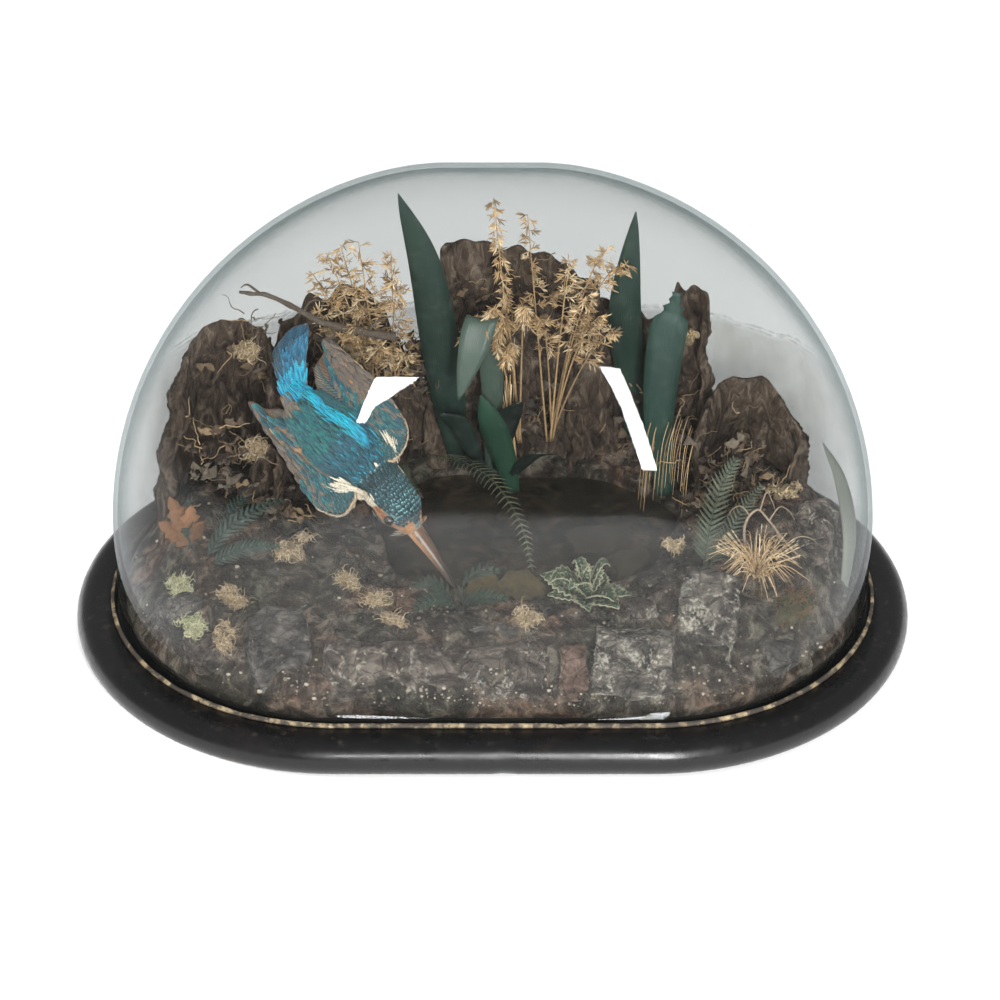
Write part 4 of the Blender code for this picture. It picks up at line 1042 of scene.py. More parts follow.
    def stones(self) -> None:
        """The stones that face the front bank, and two on the banks."""
        self.rock("slab_left_split", (-102.0, -84.0, 40.0), (29.0, 22.0, 40.0), 12.0, -24.0, 1,
                  StoneKind.GREY, "slab_left")
        self.rock("slab_front_split", (-27.0, -97.5, 37.0), (112.0, 13.0, 30.0), 0.0, -22.0, 2,
                  StoneKind.BROWN, "slab_front")
        self.rock("stone_red_split", (37.5, -98.5, 37.0), (13.0, 13.0, 27.0), 6.0, -20.0, 3,
                  StoneKind.RED, "stone_red")
        self.rock("block_white_crusted", (67.0, -94.0, 39.0), (41.0, 17.0, 33.0), -5.0, -25.0, 4,
                  StoneKind.CRUSTED, "block_white")
        self.rock("block_tall_crusted", (104.0, -72.0, 45.0), (30.0, 14.0, 56.0), -14.0, -48.0, 5,
                  StoneKind.CRUSTED, "block_tall")
        self.rock("stone_small_split", (72.0, -70.0, 52.0), (17.0, 12.0, 16.0), 15.0, -8.0, 6,
                  StoneKind.BROWN, "stone_small")
        self.rock("slab_right_split", (160.0, -6.0, 44.0), (22.0, 40.0, 36.0), -14.0, 9.0, 7,
                  StoneKind.BROWN, "slab_right")

        for number, (x, y, z, sx, sy, sz, turn, lean, kind) in enumerate((
                (-148.0, -52.0, 40.0, 30.0, 24.0, 18.0, 24.0, -20.0, StoneKind.GREY),
                (-134.0, -76.0, 34.0, 26.0, 18.0, 18.0, 30.0, -26.0, StoneKind.BROWN),
                (-84.0, -60.0, 43.0, 26.0, 16.0, 16.0, -8.0, -14.0, StoneKind.BROWN),
                (-58.0, -82.0, 42.0, 30.0, 12.0, 14.0, 4.0, -20.0, StoneKind.RED),
                (-4.0, -80.0, 44.0, 34.0, 12.0, 13.0, -3.0, -18.0, StoneKind.GREY),
                (28.0, -78.0, 44.0, 18.0, 11.0, 13.0, 10.0, -18.0, StoneKind.BROWN),
                (-118.0, -36.0, 46.0, 28.0, 16.0, 14.0, 16.0, -8.0, StoneKind.GREY),
                (134.0, -78.0, 32.0, 24.0, 14.0, 18.0, -30.0, -26.0, StoneKind.GREY),
                (150.0, -26.0, 46.0, 22.0, 18.0, 16.0, -20.0, -4.0, StoneKind.BROWN))):
            self.rock(f"stone_bank_{number}", (x, y, z), (sx, sy, sz), turn, lean, 20 + number, kind, "")

    def build(self) -> None:
        """Build the groundwork."""
        self.bed()
        self.grit()
        self.pond()
        self.stones()


# ---------------------------------------------------------------- bark and cushions

@dataclass
class BarkWork:
    """Cork bark: arch, curl, stump, post and a curved piece, with a bare twig."""

    ridge_depth: float = 2.0

    def shell(self, name: str, node: str, centre: Point, radii: tuple[float, float],
              heights: tuple[float, float, float, float], arc: tuple[float, float], taper: float,
              thickness: float, seed: int, steps: tuple[int, int]) -> None:
        """A sheet of cork bark bent about an upright axis, with clefts and a ragged top.

        Args:
            name: the piece's name.
            node: the node that it stands for.
            centre: the axis, in plan.
            radii: half sizes in plan.
            heights: the foot, then the top at the arc's start, middle and end.
            arc: where the sheet starts and ends, in degrees.
            taper: scale of the plan at the top.
            thickness: of the sheet.
            seed: of its noise.
            steps: columns and rows.
        """
        foot, top_start, top_mid, top_end = heights
        columns, rows = steps
        outer = np.zeros((rows + 1, columns + 1, 3))
        inner = np.zeros_like(outer)
        shift = Vector((seed * 7.3, seed * 1.9, seed * 4.1))
        for row in range(rows + 1):
            for column in range(columns + 1):
                along = column / columns
                angle = math.radians(arc[0] + (arc[1] - arc[0]) * along)
                top = (1 - along) * (1 - 2 * along) * top_start
                top += 4 * along * (1 - along) * top_mid + along * (2 * along - 1) * top_end
                top *= 1.0 + 0.045 * noise.noise(Vector((along * 9.0, seed, 0.0)))
                rise = row / rows
                scale = 1.0 + (taper - 1.0) * rise ** 2.2
                out = Vector((math.cos(angle), math.sin(angle), 0.15)).normalized()
                place = Vector((centre[0] + radii[0] * math.cos(angle) * scale,
                                centre[1] + radii[1] * math.sin(angle) * scale, foot + (top - foot) * rise))
                broad = 5.0 * noise.noise(place / 17.0 + shift)
                cleft = Vector((place.x / 4.6, place.y / 4.6, place.z / 12.0))
                ridge = 1.0 - 2.2 * abs(roughness_at(cleft, 1.0, 3, seed))
                knob = 0.8 * roughness_at(place, 3.2, 2, seed)
                edge = min(1.0, (1.0 - rise) * 6.0 + 0.25) * min(1.0, along * 14.0 + 0.3, (1.0 - along) * 14.0 + 0.3)
                half = 0.5 * thickness * edge
                outer[row, column] = place + out * (broad + half + edge * (self.ridge_depth * ridge + knob - 1.0))
                inner[row, column] = place + out * (broad - half + 0.8 * knob)
        loop = np.concatenate([outer, inner[:, ::-1]], axis=1)
        mesh = Mesh()
        mesh.grid(loop, wrap=True)
        width = loop.shape[1]
        for row, flip in ((0, True), (rows, False)):
            faces = []
            for column in range(columns):
                a, b = column, column + 1
                c, d = width - 2 - column, width - 1 - column
                quad = (row * width + a, row * width + b, row * width + c, row * width + d)
                faces.append(tuple(reversed(quad)) if flip else quad)
            mesh.faces.extend(faces)
        mesh.piece(name, CorkBark(), "bark", [node] if node else ())

    def twig(self) -> None:
        """The bare twig, with a fork, knots and a side spur."""
        mesh = Mesh()
        tone = (0.075, 0.060, 0.048)
        main = [(-124.5, 42.0, 165.0), (-108.0, 43.0, 162.0), (-87.0, 46.0, 147.0), (-66.0, 47.0, 140.0),
                (-48.0, 48.0, 136.0)]
        path, radii = [], []
        for i in range(27):
            along = i / 26
            point = curve_point(main, along)
            point.z += 0.9 * roughness_at(Vector((along * 11.0, 0.0, 0.0)), 1.0, 2, 3.0)
            path.append(point)
            radii.append(0.75 + 1.5 * along + 0.4 * abs(math.sin(along * 23.0)) ** 6)
        mesh.tube(path, radii, 8, tone)
        for start, bends in ((0.16, ((-6.0, 0.5, 5.0), (-9.5, 1.0, 3.0))), (0.42, ((4.0, -1.0, 7.0), (9.0, -2.0, 8.5))),
                             (0.60, ((-1.0, -2.0, -7.0), (-5.0, -3.0, -12.0))), (0.80, ((5.0, 1.0, 6.0), (12.0, 1.0, 9.0)))):
            root = curve_point(main, start)
            points = [root] + [root + Vector(b) for b in bends]
            side = [curve_point(points, i / 6) for i in range(7)]
            mesh.tube(side, [0.8 - 0.09 * i for i in range(7)], 6, tone)
        mesh.piece("twig_bare", TonedMatter("twig_skin", 1.6, 0.3, 0.9), "bark", ["twig"])

    def wire(self) -> None:
        """The wire that carries the bird, wrapped in thread near the ground."""
        form = BodyForm()
        centre, _, _, back, _, depth = form.frame(0.40)
        start = centre - back * (1.06 * depth + 0.5)
        points = [start, (-74.0, 28.0, 82.0), (-78.0, 46.0, 62.0), (-80.0, 50.0, 46.0)]
        mesh = Mesh()
        path = [curve_point(points, i / 30) for i in range(31)]
        mesh.tube(path, [0.8 + 0.05 * (i % 2) for i in range(31)], 8, (0.07, 0.055, 0.045))
        mesh.piece("mount_wire_dark", Horn("iron_wire", 0.45), "mount_wire", ["mount_wire"])

    def build(self) -> None:
        """Build the bark, twig and wire."""
        self.shell("bark_arch_cork", "bark_arch", (-132.0, 38.0, 0.0), (36.0, 34.0), (34.0, 108.0, 140.0, 98.0),
                   (-25.0, 205.0), 0.60, 6.0, 1, (150, 90))
        self.shell("bark_curl_cork", "bark_curl", (-112.0, 12.0, 0.0), (6.0, 6.5), (50.0, 84.0, 92.0, 80.0),
                   (-60.0, 200.0), 0.8, 2.4, 2, (40, 40))
        self.shell("bark_stump_cork", "bark_stump", (14.0, 58.0, 0.0), (60.0, 28.0), (42.0, 148.0, 168.0, 174.0),
                   (34.0, 144.0), 0.80, 7.0, 3, (130, 120))
        self.shell("bark_post_cork", "bark_post", (97.0, 62.0, 0.0), (12.0, 11.0), (34.0, 134.0, 152.0, 138.0),
                   (-40.0, 220.0), 0.75, 4.0, 4, (70, 100))
        self.shell("bark_right_cork", "bark_right", (131.0, 40.0, 0.0), (27.0, 25.0), (34.0, 66.0, 102.0, 98.0),
                   (-40.0, 190.0), 0.80, 6.0, 5, (110, 70))
        self.shell("bark_back_left", "", (-82.0, 66.0, 0.0), (40.0, 13.0), (40.0, 118.0, 146.0, 82.0),
                   (15.0, 170.0), 0.85, 5.0, 6, (100, 90))
        self.shell("bark_back_middle", "", (-18.0, 74.0, 0.0), (36.0, 9.0), (40.0, 92.0, 112.0, 100.0),
                   (10.0, 170.0), 0.9, 5.0, 7, (100, 70))
        self.shell("bark_back_right", "", (70.0, 72.0, 0.0), (30.0, 11.0), (38.0, 108.0, 134.0, 142.0),
                   (10.0, 170.0), 0.9, 5.0, 8, (100, 90))
        self.shell("bark_ledge", "", (0.0, 92.0, 0.0), (66.0, 12.0), (40.0, 60.0, 67.0, 60.0),
                   (205.0, 335.0), 0.85, 8.0, 9, (130, 34))
        self.twig()
        self.wire()
        self.litter()

    def litter(self) -> None:
        """Bark flakes, curled dead leaves, twiglets and rootlets, heaped about the feet of the bark."""
        dice = random.Random(101)
        flakes, threads = Mesh(), Mesh()
        tones = ((0.075, 0.052, 0.036), (0.040, 0.028, 0.020), (0.15, 0.105, 0.065), (0.020, 0.014, 0.011),
                 (0.095, 0.078, 0.062))
        heaps = ((-18.0, 84.0, 60.0, 44.0, 5.0, 9.0, 110), (-64.0, 70.0, 84.0, 20.0, 6.0, 30.0, 80),
                 (-112.0, 8.0, 62.0, 20.0, 10.0, 7.0, 40), (24.0, 82.0, 70.0, 40.0, 4.0, 16.0, 80),
                 (88.0, 64.0, 74.0, 26.0, 8.0, 24.0, 80), (-36.0, 74.0, 104.0, 14.0, 5.0, 20.0, 60),
                 (112.0, 14.0, 62.0, 22.0, 10.0, 9.0, 36), (14.0, 76.0, 140.0, 30.0, 3.0, 18.0, 40),
                 (-100.0, 52.0, 120.0, 30.0, 5.0, 18.0, 60), (-134.0, 6.0, 92.0, 16.0, 4.0, 22.0, 40),
                 (122.0, 14.0, 80.0, 18.0, 6.0, 18.0, 50))
        for x, y, z, sx, sy, sz, count in heaps:
            for _ in range(count):
                root = Vector((x + dice.gauss(0, 0.5) * sx, y + dice.gauss(0, 0.5) * sy, z + dice.gauss(0, 0.5) * sz))
                way = Vector((dice.gauss(0, 1), 0.5 * dice.gauss(0, 1), 0.6 * dice.gauss(0, 1))).normalized()
                size = dice.uniform(3.0, 10.0)
                across = way.orthogonal()
                bend = Vector((dice.gauss(0, 1), dice.gauss(0, 1), dice.gauss(0, 1))).normalized() * 0.3 * size
                spine = [root + way * size * (i / 6 - 0.5) + bend * math.sin(math.pi * i / 6) for i in range(7)]
                widths = [max(0.3, 0.30 * size * (0.6 + 0.4 * math.sin(1.0 + i * 1.7)) * dice.uniform(0.7, 1.2))
                          for i in range(7)]
                flakes_tone = shade_of(dice.choice(tones), dice, 0.3)
                flakes.leaf(spine, widths, across, dice.uniform(0.5, 1.4), flakes_tone, 0.3)
            for _ in range(count // 2):
                point = Vector((x + dice.gauss(0, 0.6) * sx, y + dice.gauss(0, 0.5) * sy, z + dice.gauss(0, 0.6) * sz))
                heading = Vector((dice.gauss(0, 1), 0.5 * dice.gauss(0, 1), dice.gauss(0, 0.7))).normalized()
                path = [point]
                for _ in range(9):
                    heading = (heading + 0.45 * Vector((dice.gauss(0, 1), dice.gauss(0, 1), dice.gauss(0, 1)))).normalized()
                    path.append(path[-1] + heading * 1.9)
                threads.tube(path, [0.34 - 0.022 * i for i in range(10)], 4,
                             shade_of(dice.choice(((0.30, 0.21, 0.12), (0.12, 0.085, 0.055))), dice, 0.3))
        flakes.piece("litter_flakes", TonedMatter("litter_flake", 1.6, 0.4, 0.92), "bark")
        threads.piece("litter_threads", TonedMatter("litter_thread", 1.2, 0.1, 0.9), "dry_grass")


class CushionKind(Enum):
    """Kinds of lichen and moss: strand length, thickness, curl, count, and their tones."""

    BEIGE = (9.5, 0.30, 1.6, 330, ((0.36, 0.275, 0.175), (0.24, 0.18, 0.11), (0.48, 0.39, 0.27)))
    PALE_GREEN = (10.0, 0.28, 1.8, 330, ((0.42, 0.43, 0.28), (0.30, 0.31, 0.18), (0.52, 0.49, 0.34)))
    KNOBBLY = (6.0, 0.50, 1.9, 170, ((0.36, 0.28, 0.17), (0.22, 0.17, 0.10), (0.48, 0.38, 0.25)))
    RED_MOSS = (9.0, 0.26, 0.9, 620, ((0.085, 0.055, 0.022), (0.060, 0.060, 0.025), (0.17, 0.075, 0.025)))
    BROWN_MOSS = (5.5, 0.26, 1.0, 380, ((0.10, 0.065, 0.030), (0.060, 0.040, 0.020), (0.20, 0.13, 0.06)))


@dataclass
class Cushions:
    """Curly lichen on the banks, and moss on the ledge and the right bank."""

    ground: Groundwork

    def cushion(self, name: str, centre: Point, radii: Point, turn: float, kind: CushionKind, seed: int,
                nodes: Sequence[str] = (), slot: str = "lichen") -> None:
        """A low core with strands that curl out of it.

        Args:
            name: the piece's name.
            centre: its middle.
            radii: half sizes.
            turn: about the upright, in degrees.
            kind: what grows there.
            seed: of its chance.
            nodes: the nodes that it stands for.
            slot: the record's material slot.
        """
        length, thick, curl, count, tones = kind.value
        dice = random.Random(seed)
        mesh = Mesh()
        spin = Matrix.Rotation(math.radians(turn), 3, "Z")
        moss = kind in (CushionKind.RED_MOSS, CushionKind.BROWN_MOSS)
        ball = bmesh.new()
        bmesh.ops.create_icosphere(ball, subdivisions=4, radius=1.0)
        core = []
        for vert in ball.verts:
            place = Vector(a * b * (0.72 if moss else 0.45) for a, b in zip(vert.co, radii))
            place += vert.co * 0.4 * min(radii) * roughness_at(place, 4.0, 3, seed)
            core.append(tuple(spin @ place + Vector(centre)))
        faces = [tuple(v.index for v in f.verts) for f in ball.faces]
        ball.free()
        # Painted shade: the core, which shows between the strands, is darker than they are.
        mesh.add(np.array(core), faces, np.asarray(tones[1]) * 0.6)
        lobes = [Vector((dice.uniform(-0.75, 0.75), dice.uniform(-0.75, 0.75), dice.uniform(-0.2, 0.3)))
                 for _ in range(5)]
        for number in range(count):
            angle = dice.uniform(0.0, 2.0 * math.pi)
            lift = dice.uniform(-0.2, 1.3)
            way = Vector((math.cos(angle) * math.cos(lift), math.sin(angle) * math.cos(lift), math.sin(lift)))
            seat = way * 0.62 if moss else lobes[number % 5] + way * dice.uniform(0.0, 0.35)
            start = Vector(a * b for a, b in zip(seat, radii))
            start.z = max(start.z, -0.4 * radii[2])
            steps = 7 if moss else 11
            step = length * dice.uniform(0.35, 1.0) / steps
            path = [spin @ start + Vector(centre)]
            heading = (spin @ way).normalized()
            turn_axis = Vector((dice.gauss(0, 1), dice.gauss(0, 1), dice.gauss(0, 1))).normalized()
            for _ in range(steps):
                turn_axis = (turn_axis + 0.5 * Vector((dice.gauss(0, 1), dice.gauss(0, 1), dice.gauss(0, 1)))).normalized()
                heading = Matrix.Rotation(curl * dice.uniform(0.15, 0.55), 3, turn_axis) @ heading
                heading = (heading + Vector((0.0, 0.0, -0.10))).normalized()
                path.append(path[-1] + heading * step)
            radii_now = [thick * (1.0 - 0.7 * i / steps) for i in range(steps + 1)]
            mesh.tube(path, radii_now, 4, shade_of(dice.choice(tones), dice, 0.25))
        mesh.piece(name, TonedMatter("cushion", 1.0, 0.1, 0.95), slot, nodes)

    def build(self) -> None:
        """Build every cushion."""
        green, beige, knobbly = CushionKind.PALE_GREEN, CushionKind.BEIGE, CushionKind.KNOBBLY
        self.cushion("lichen_left_curly", (-146.0, -64.0, 42.0), (8.0, 12.0, 6.0), 30.0, green, 21, ["lichen_left"])
        self.cushion("lichen_left_upper", (-152.0, -44.0, 50.0), (5.0, 9.0, 4.0), 20.0, green, 31)
        self.cushion("lichen_front_curly", (-127.0, -60.0, 53.0), (8.0, 8.0, 5.0), 0.0, beige, 22, ["lichen_front"])
        self.cushion("lichen_front_trail", (-128.0, -78.0, 44.0), (4.0, 10.0, 4.0), 6.0, beige, 32)
        self.cushion("lichen_bank_curly", (-98.0, -22.0, 57.0), (9.0, 9.0, 5.0), 10.0, beige, 23, ["lichen_bank"])
        self.cushion("lichen_pond_curly", (-72.0, -44.0, 51.0), (5.0, 5.0, 3.5), 0.0, beige, 24, ["lichen_pond"])
        self.cushion("lichen_shore_curly", (-52.0, -60.0, 51.0), (9.0, 5.0, 3.5), 20.0, beige, 25, ["lichen_shore"])
        self.cushion("lichen_shore_low", (-50.0, -76.0, 51.0), (8.0, 4.0, 3.0), -16.0, beige, 35)
        self.cushion("lichen_centre_curly", (14.0, -74.0, 53.0), (10.0, 6.0, 4.5), -20.0, beige, 26,
                     ["lichen_centre"])
        self.cushion("lichen_knobbly", (92.0, -18.0, 54.0), (6.0, 5.0, 6.5), 15.0, knobbly, 27, ["lichen_curl"])
        self.cushion("lichen_cave", (-118.0, 10.0, 92.0), (5.0, 5.0, 6.0), 0.0, beige, 36)
        self.cushion("lichen_spire", (-121.0, 40.0, 132.0), (6.0, 5.0, 6.0), 0.0, beige, 38)
        self.cushion("lichen_right", (146.0, 14.0, 66.0), (11.0, 7.0, 7.0), 0.0, knobbly, 37)
        self.cushion("lichen_post", (96.0, 50.0, 134.0), (8.0, 4.0, 10.0), 0.0, knobbly, 39)
        self.cushion("moss_ledge_brown", (-22.0, 89.0, 55.0), (25.0, 6.0, 7.0), 0.0, CushionKind.BROWN_MOSS, 28,
                     ["ledge_moss"], "moss")
        self.cushion("moss_shore_brown", (-16.0, 80.0, 52.0), (26.0, 5.0, 4.0), 0.0, CushionKind.BROWN_MOSS, 29,
                     (), "moss")
        self.cushion("moss_right_red", (139.0, -52.0, 46.0), (22.0, 24.0, 7.0), 20.0, CushionKind.RED_MOSS, 30,
                     ["moss_right"], "moss")


# ---------------------------------------------------------------- foliage

@dataclass
class Foliage:
    """Sword leaves, ferns, small leaves and the rosette."""

    green: Colour = (0.011, 0.027, 0.020)
    grey_green: Colour = (0.040, 0.062, 0.048)
    blade_thickness: float = 0.55

    def blade(self, name: str, node: str, points: Sequence[Point], half: float, across: Point,
              tone: Colour, widest: float, torn: bool = False) -> None:
        """A sword leaf along a curve, widest part way up."""
        steps = 44
        spine, widths, tones = [], [], []
        dice = random.Random(len(name))
        for i in range(steps + 1):
            along = i / steps
            spine.append(curve_point(points, along))
            if along < widest:
                shape = 0.45 + 0.55 * math.sin(0.5 * math.pi * along / widest)
            else:
                shape = math.cos(0.5 * math.pi * (along - widest) / (1.0 - widest)) ** 0.8
            if torn and along > 0.86:
                shape = max(shape, 0.35) * (0.75 + 0.25 * math.sin(along * 160.0))
            widths.append(max(0.25, shape * half))
            tones.append(np.asarray(tone) * (1.0 + 0.12 * math.sin(along * 9.0)) * dice.uniform(0.96, 1.04))
        mesh = Mesh()
        mesh.leaf(spine, widths, Vector(across), self.blade_thickness, np.array(tones), 0.18)
        mesh.piece(name, SwordLeaf(), "green_leaf", [node] if node else ())

    def frond(self, mesh: Mesh, points: Sequence[Point], half: float, across: Point, pairs: int,
              tone: Colour, dice: random.Random, lean: float = 0.45, lift: float = 0.10) -> None:
        """A fern frond: a stalk and a comb of leaflets on both sides."""
        path = [curve_point(points, i / 24) for i in range(25)]
        mesh.tube(path, [0.50 - 0.35 * i / 24 for i in range(25)], 5, np.asarray(tone) * 0.7)
        for i in range(pairs):
            along = 0.08 + 0.90 * (i + 0.5) / pairs
            point = curve_point(points, along)
            ahead = (curve_point(points, along + 0.02) - curve_point(points, along - 0.02)).normalized()
            side = Vector(across)
            side = (side - ahead * side.dot(ahead)).normalized()
            up = side.cross(ahead)
            reach = half * (0.35 + 0.65 * math.sin(math.pi * min(1.0, along * 0.9 + 0.16))) * dice.uniform(0.86, 1.1)
            for sign in (-1.0, 1.0):
                way = (side * sign + ahead * lean).normalized()
                spine, widths = [], []
                for k in range(6):
                    share = k / 5.0
                    sag = up * (lift * reach * share - 0.22 * reach * share * share)
                    spine.append(point + way * reach * share + sag + ahead * 0.12 * reach * share ** 2)
                    widths.append(max(0.12, 0.42 * (1.0 - share) ** 0.55 * (1.0 + 0.2 * (k % 2)) * half * 2.4 / pairs
                                      * 1.9))
                mesh.leaf(spine, widths, ahead, 0.28, shade_of(tone, dice, 0.25), 0.15)

    def ferns(self) -> None:
        """Three groups of fern."""
        dice = random.Random(41)
        finish = TonedMatter("fern_frond", 1.4, 0.12, 0.75)
        mesh = Mesh()
        self.frond(mesh, [(-34.0, 62.0, 57.0), (-18.0, 48.0, 63.0), (0.0, 26.0, 65.0), (14.0, -4.0, 59.0),
                          (20.0, -26.0, 45.0)], 7.0, (-0.8, -0.6, 0.0), 30, (0.085, 0.095, 0.060), dice)
        self.frond(mesh, [(-40.0, 60.0, 56.0), (-46.0, 48.0, 60.0), (-44.0, 38.0, 58.0), (-36.0, 30.0, 54.0)],
                   4.5, (-0.8, -0.6, 0.0), 16, (0.060, 0.075, 0.045), dice)
        mesh.piece("fern_centre_frond", finish, "fern", ["fern_centre"])
        mesh = Mesh()
        bluish = (0.026, 0.042, 0.036)
        for points, half in (
                ([(-142.0, -30.0, 54.0), (-132.0, -22.0, 66.0), (-118.0, -12.0, 72.0), (-103.0, 2.0, 70.0)], 7.5),
                ([(-140.0, -34.0, 54.0), (-128.0, -34.0, 62.0), (-116.0, -32.0, 65.0), (-104.0, -28.0, 62.0)], 6.5),
                ([(-144.0, -30.0, 54.0), (-150.0, -22.0, 64.0), (-152.0, -12.0, 70.0), (-150.0, -2.0, 72.0)], 6.0),
                ([(-138.0, -30.0, 54.0), (-132.0, -12.0, 64.0), (-126.0, 2.0, 68.0), (-118.0, 12.0, 67.0)], 6.0)):
            self.frond(mesh, points, half, (0.4, -0.65, -0.45), 15, bluish, dice, 0.9)
        mesh.piece("fern_left_fronds", finish, "fern", ["fern_left"])
        mesh = Mesh()
        for points, half in (
                ([(104.0, -30.0, 50.0), (106.0, -22.0, 64.0), (112.0, -6.0, 80.0), (121.0, 6.0, 92.0)], 9.5),
                ([(106.0, -30.0, 50.0), (114.0, -24.0, 62.0), (124.0, -12.0, 74.0), (134.0, 0.0, 80.0)], 7.0)):
            self.frond(mesh, points, half, (1.0, 0.0, 0.0), 22, (0.062, 0.076, 0.055), dice, 0.7)
        mesh.piece("fern_right_fronds", finish, "fern", ["fern_right"])

    def sprays(self) -> None:
        """The dark leaf spray, small leaves behind the pond, and the rust leaf."""
        dice = random.Random(43)
        mesh = Mesh()
        for points, half in (
                ([(-16.0, -62.0, 48.0), (-10.0, -66.0, 57.0), (-2.0, -70.0, 61.0), (8.0, -76.0, 63.5)], 7.0),
                ([(-16.0, -62.0, 48.0), (-22.0, -66.0, 57.0), (-30.0, -70.0, 60.0), (-38.0, -76.0, 58.0)], 6.0),
                ([(-14.0, -62.0, 48.0), (-14.0, -56.0, 58.0), (-6.0, -50.0, 62.0), (4.0, -46.0, 60.0)], 6.0),
                ([(-16.0, -62.0, 48.0), (-24.0, -58.0, 58.0), (-32.0, -56.0, 60.0), (-40.0, -54.0, 56.0)], 5.5)):
            self.frond(mesh, points, half, (-0.25, -0.7, -0.3), 9, (0.015, 0.028, 0.019), dice, 0.8, 0.3)
        mesh.piece("leaf_spray_dark", TonedMatter("spray_leaf", 1.2, 0.12, 0.6), "green_leaf", ["leaf_spray"])
        mesh = Mesh()
        for x, y, z, dx, dz, half in ((-6.0, 58.0, 52.0, -20.0, 40.0, 5.5), (2.0, 60.0, 50.0, 12.0, 48.0, 6.5),
                                      (8.0, 56.0, 46.0, 24.0, 24.0, 4.5), (-2.0, 54.0, 46.0, -14.0, 20.0, 4.5)):
            spine = [curve_point([(x, y, z), (x + 0.5 * dx, y - 5.0, z + 0.7 * dz), (x + dx, y - 12.0, z + dz)], i / 14)
                     for i in range(15)]
            widths = [max(0.3, half * math.sin(math.pi * (0.06 + 0.9 * i / 14)) ** 0.8) for i in range(15)]
            mesh.leaf(spine, widths, Vector((1.0, 0.2, 0.0)), 0.5, shade_of(self.green, dice, 0.3) * 0.45, 0.25)
        mesh.piece("leaves_behind_pond", SwordLeaf(), "green_leaf")
        mesh = Mesh()
        for dx, dy, dz in ((-9.0, 5.0, 28.0), (2.0, 2.0, 25.0), (8.0, 0.0, 17.0), (-15.0, 2.0, 15.0)):
            spine = [curve_point([(-150.0, -18.0, 53.0), (-150.0 + 0.4 * dx, -17.0, 53.0 + 0.6 * dz),
                                  (-150.0 + dx, -18.0 + dy, 53.0 + dz)], i / 12) for i in range(13)]
            widths = [max(0.3, 5.0 * math.sin(math.pi * (0.05 + 0.92 * i / 12)) * (1.0 + 0.28 * math.cos(i * 2.4)))
                      for i in range(13)]
            mesh.leaf(spine, widths, Vector((1.0, 0.3, 0.0)), 0.45, shade_of((0.135, 0.065, 0.030), dice, 0.3), 0.3)
        mesh.piece("rust_leaf_lobed", TonedMatter("rust_lobe", 1.8, 0.2, 0.8), "rust_leaf", ["rust_leaf"])

    def rosette(self) -> None:
        """The speckled rosette: two rows of thick, toothed leaves about a bud."""
        dice = random.Random(47)
        centre = Vector((46.0, -59.0, 53.0))
        mesh = Mesh()
        for layer, count, reach, rise in ((0, 7, 25.0, 5.0), (1, 5, 19.0, 12.0), (2, 3, 12.0, 17.0)):
            for k in range(count):
                angle = 2.0 * math.pi * (k + 0.5 * layer) / count + dice.uniform(-0.15, 0.15)
                way = Vector((math.cos(angle), math.sin(angle), 0.0))
                across = Vector((-math.sin(angle), math.cos(angle), 0.0))
                long = reach * dice.uniform(0.68, 1.05) * (1.0 if abs(way.x) > 0.5 else 0.82)
                lift, twist = dice.uniform(0.5, 1.5), dice.gauss(0.0, 3.5)
                spine, widths = [], []
                for i in range(17):
                    share = i / 16
                    curl = rise * lift * math.sin(share * 2.2) + 0.8 * layer
                    spine.append(centre + way * long * share + across * twist * share * share
                                 + Vector((0.0, 0.0, curl)))
                    tooth = 1.0 + (0.24 if i % 2 else -0.08)
                    widths.append(max(0.2, 0.31 * long * math.sin(math.pi * min(0.985, 0.12 + 0.88 * share)) * tooth))
                mesh.leaf(spine, widths, across, 0.9, (0.1, 0.15, 0.07), 0.34)
        mesh.piece("rosette_speckled", SpeckledLeaf(), "rosette_leaf", ["rosette"])

    def build(self) -> None:
        """Build all the leaves."""
        wide = (1.0, 0.0, 0.0)
        self.blade("blade_left_sword", "blade_left", [(-17.0, 72.0, 44.0), (-24.0, 66.0, 100.0), (-33.0, 54.0, 172.0),
                                                      (-45.5, 42.0, 220.0)], 9.6, wide, self.green, 0.45)
        self.blade("blade_bent_sword", "blade_bent",
                   [(0.0, 64.0, 44.0), (0.0, 61.0, 96.0), (-2.0, 56.0, 136.0), (-5.0, 46.0, 148.0),
                    (-10.0, 38.0, 134.0), (-17.0, 35.0, 107.0)], 8.0, wide, self.grey_green, 0.7)
        self.blade("blade_right_sword", "blade_right", [(76.0, 78.0, 44.0), (69.0, 66.0, 110.0), (66.0, 56.0, 150.0),
                                                        (69.5, 44.0, 209.0)], 8.5, wide, self.green, 0.55)
        self.blade("blade_torn_sword", "blade_torn", [(88.0, 44.0, 44.0), (84.0, 44.0, 92.0), (86.0, 44.0, 132.0),
                                                      (91.0, 44.0, 164.0)], 9.5, wide, (0.012, 0.035, 0.026), 0.75,
                   True)
        self.blade("blade_low_sword", "blade_low", [(11.0, 56.0, 38.0), (5.0, 54.0, 64.0), (-1.0, 52.0, 84.0),
                                                    (-6.0, 51.0, 100.0)], 7.0, wide, (0.010, 0.040, 0.022), 0.5)
        self.blade("blade_far_thin", "blade_far", [(174.0, -26.0, 30.0), (177.0, -12.0, 58.0), (173.0, 6.0, 78.0),
                                                   (165.0, 22.0, 90.0)], 4.0, (0.9, 0.4, -0.1),
                   (0.10, 0.11, 0.09), 0.45)
        self.ferns()
        self.sprays()
        self.rosette()


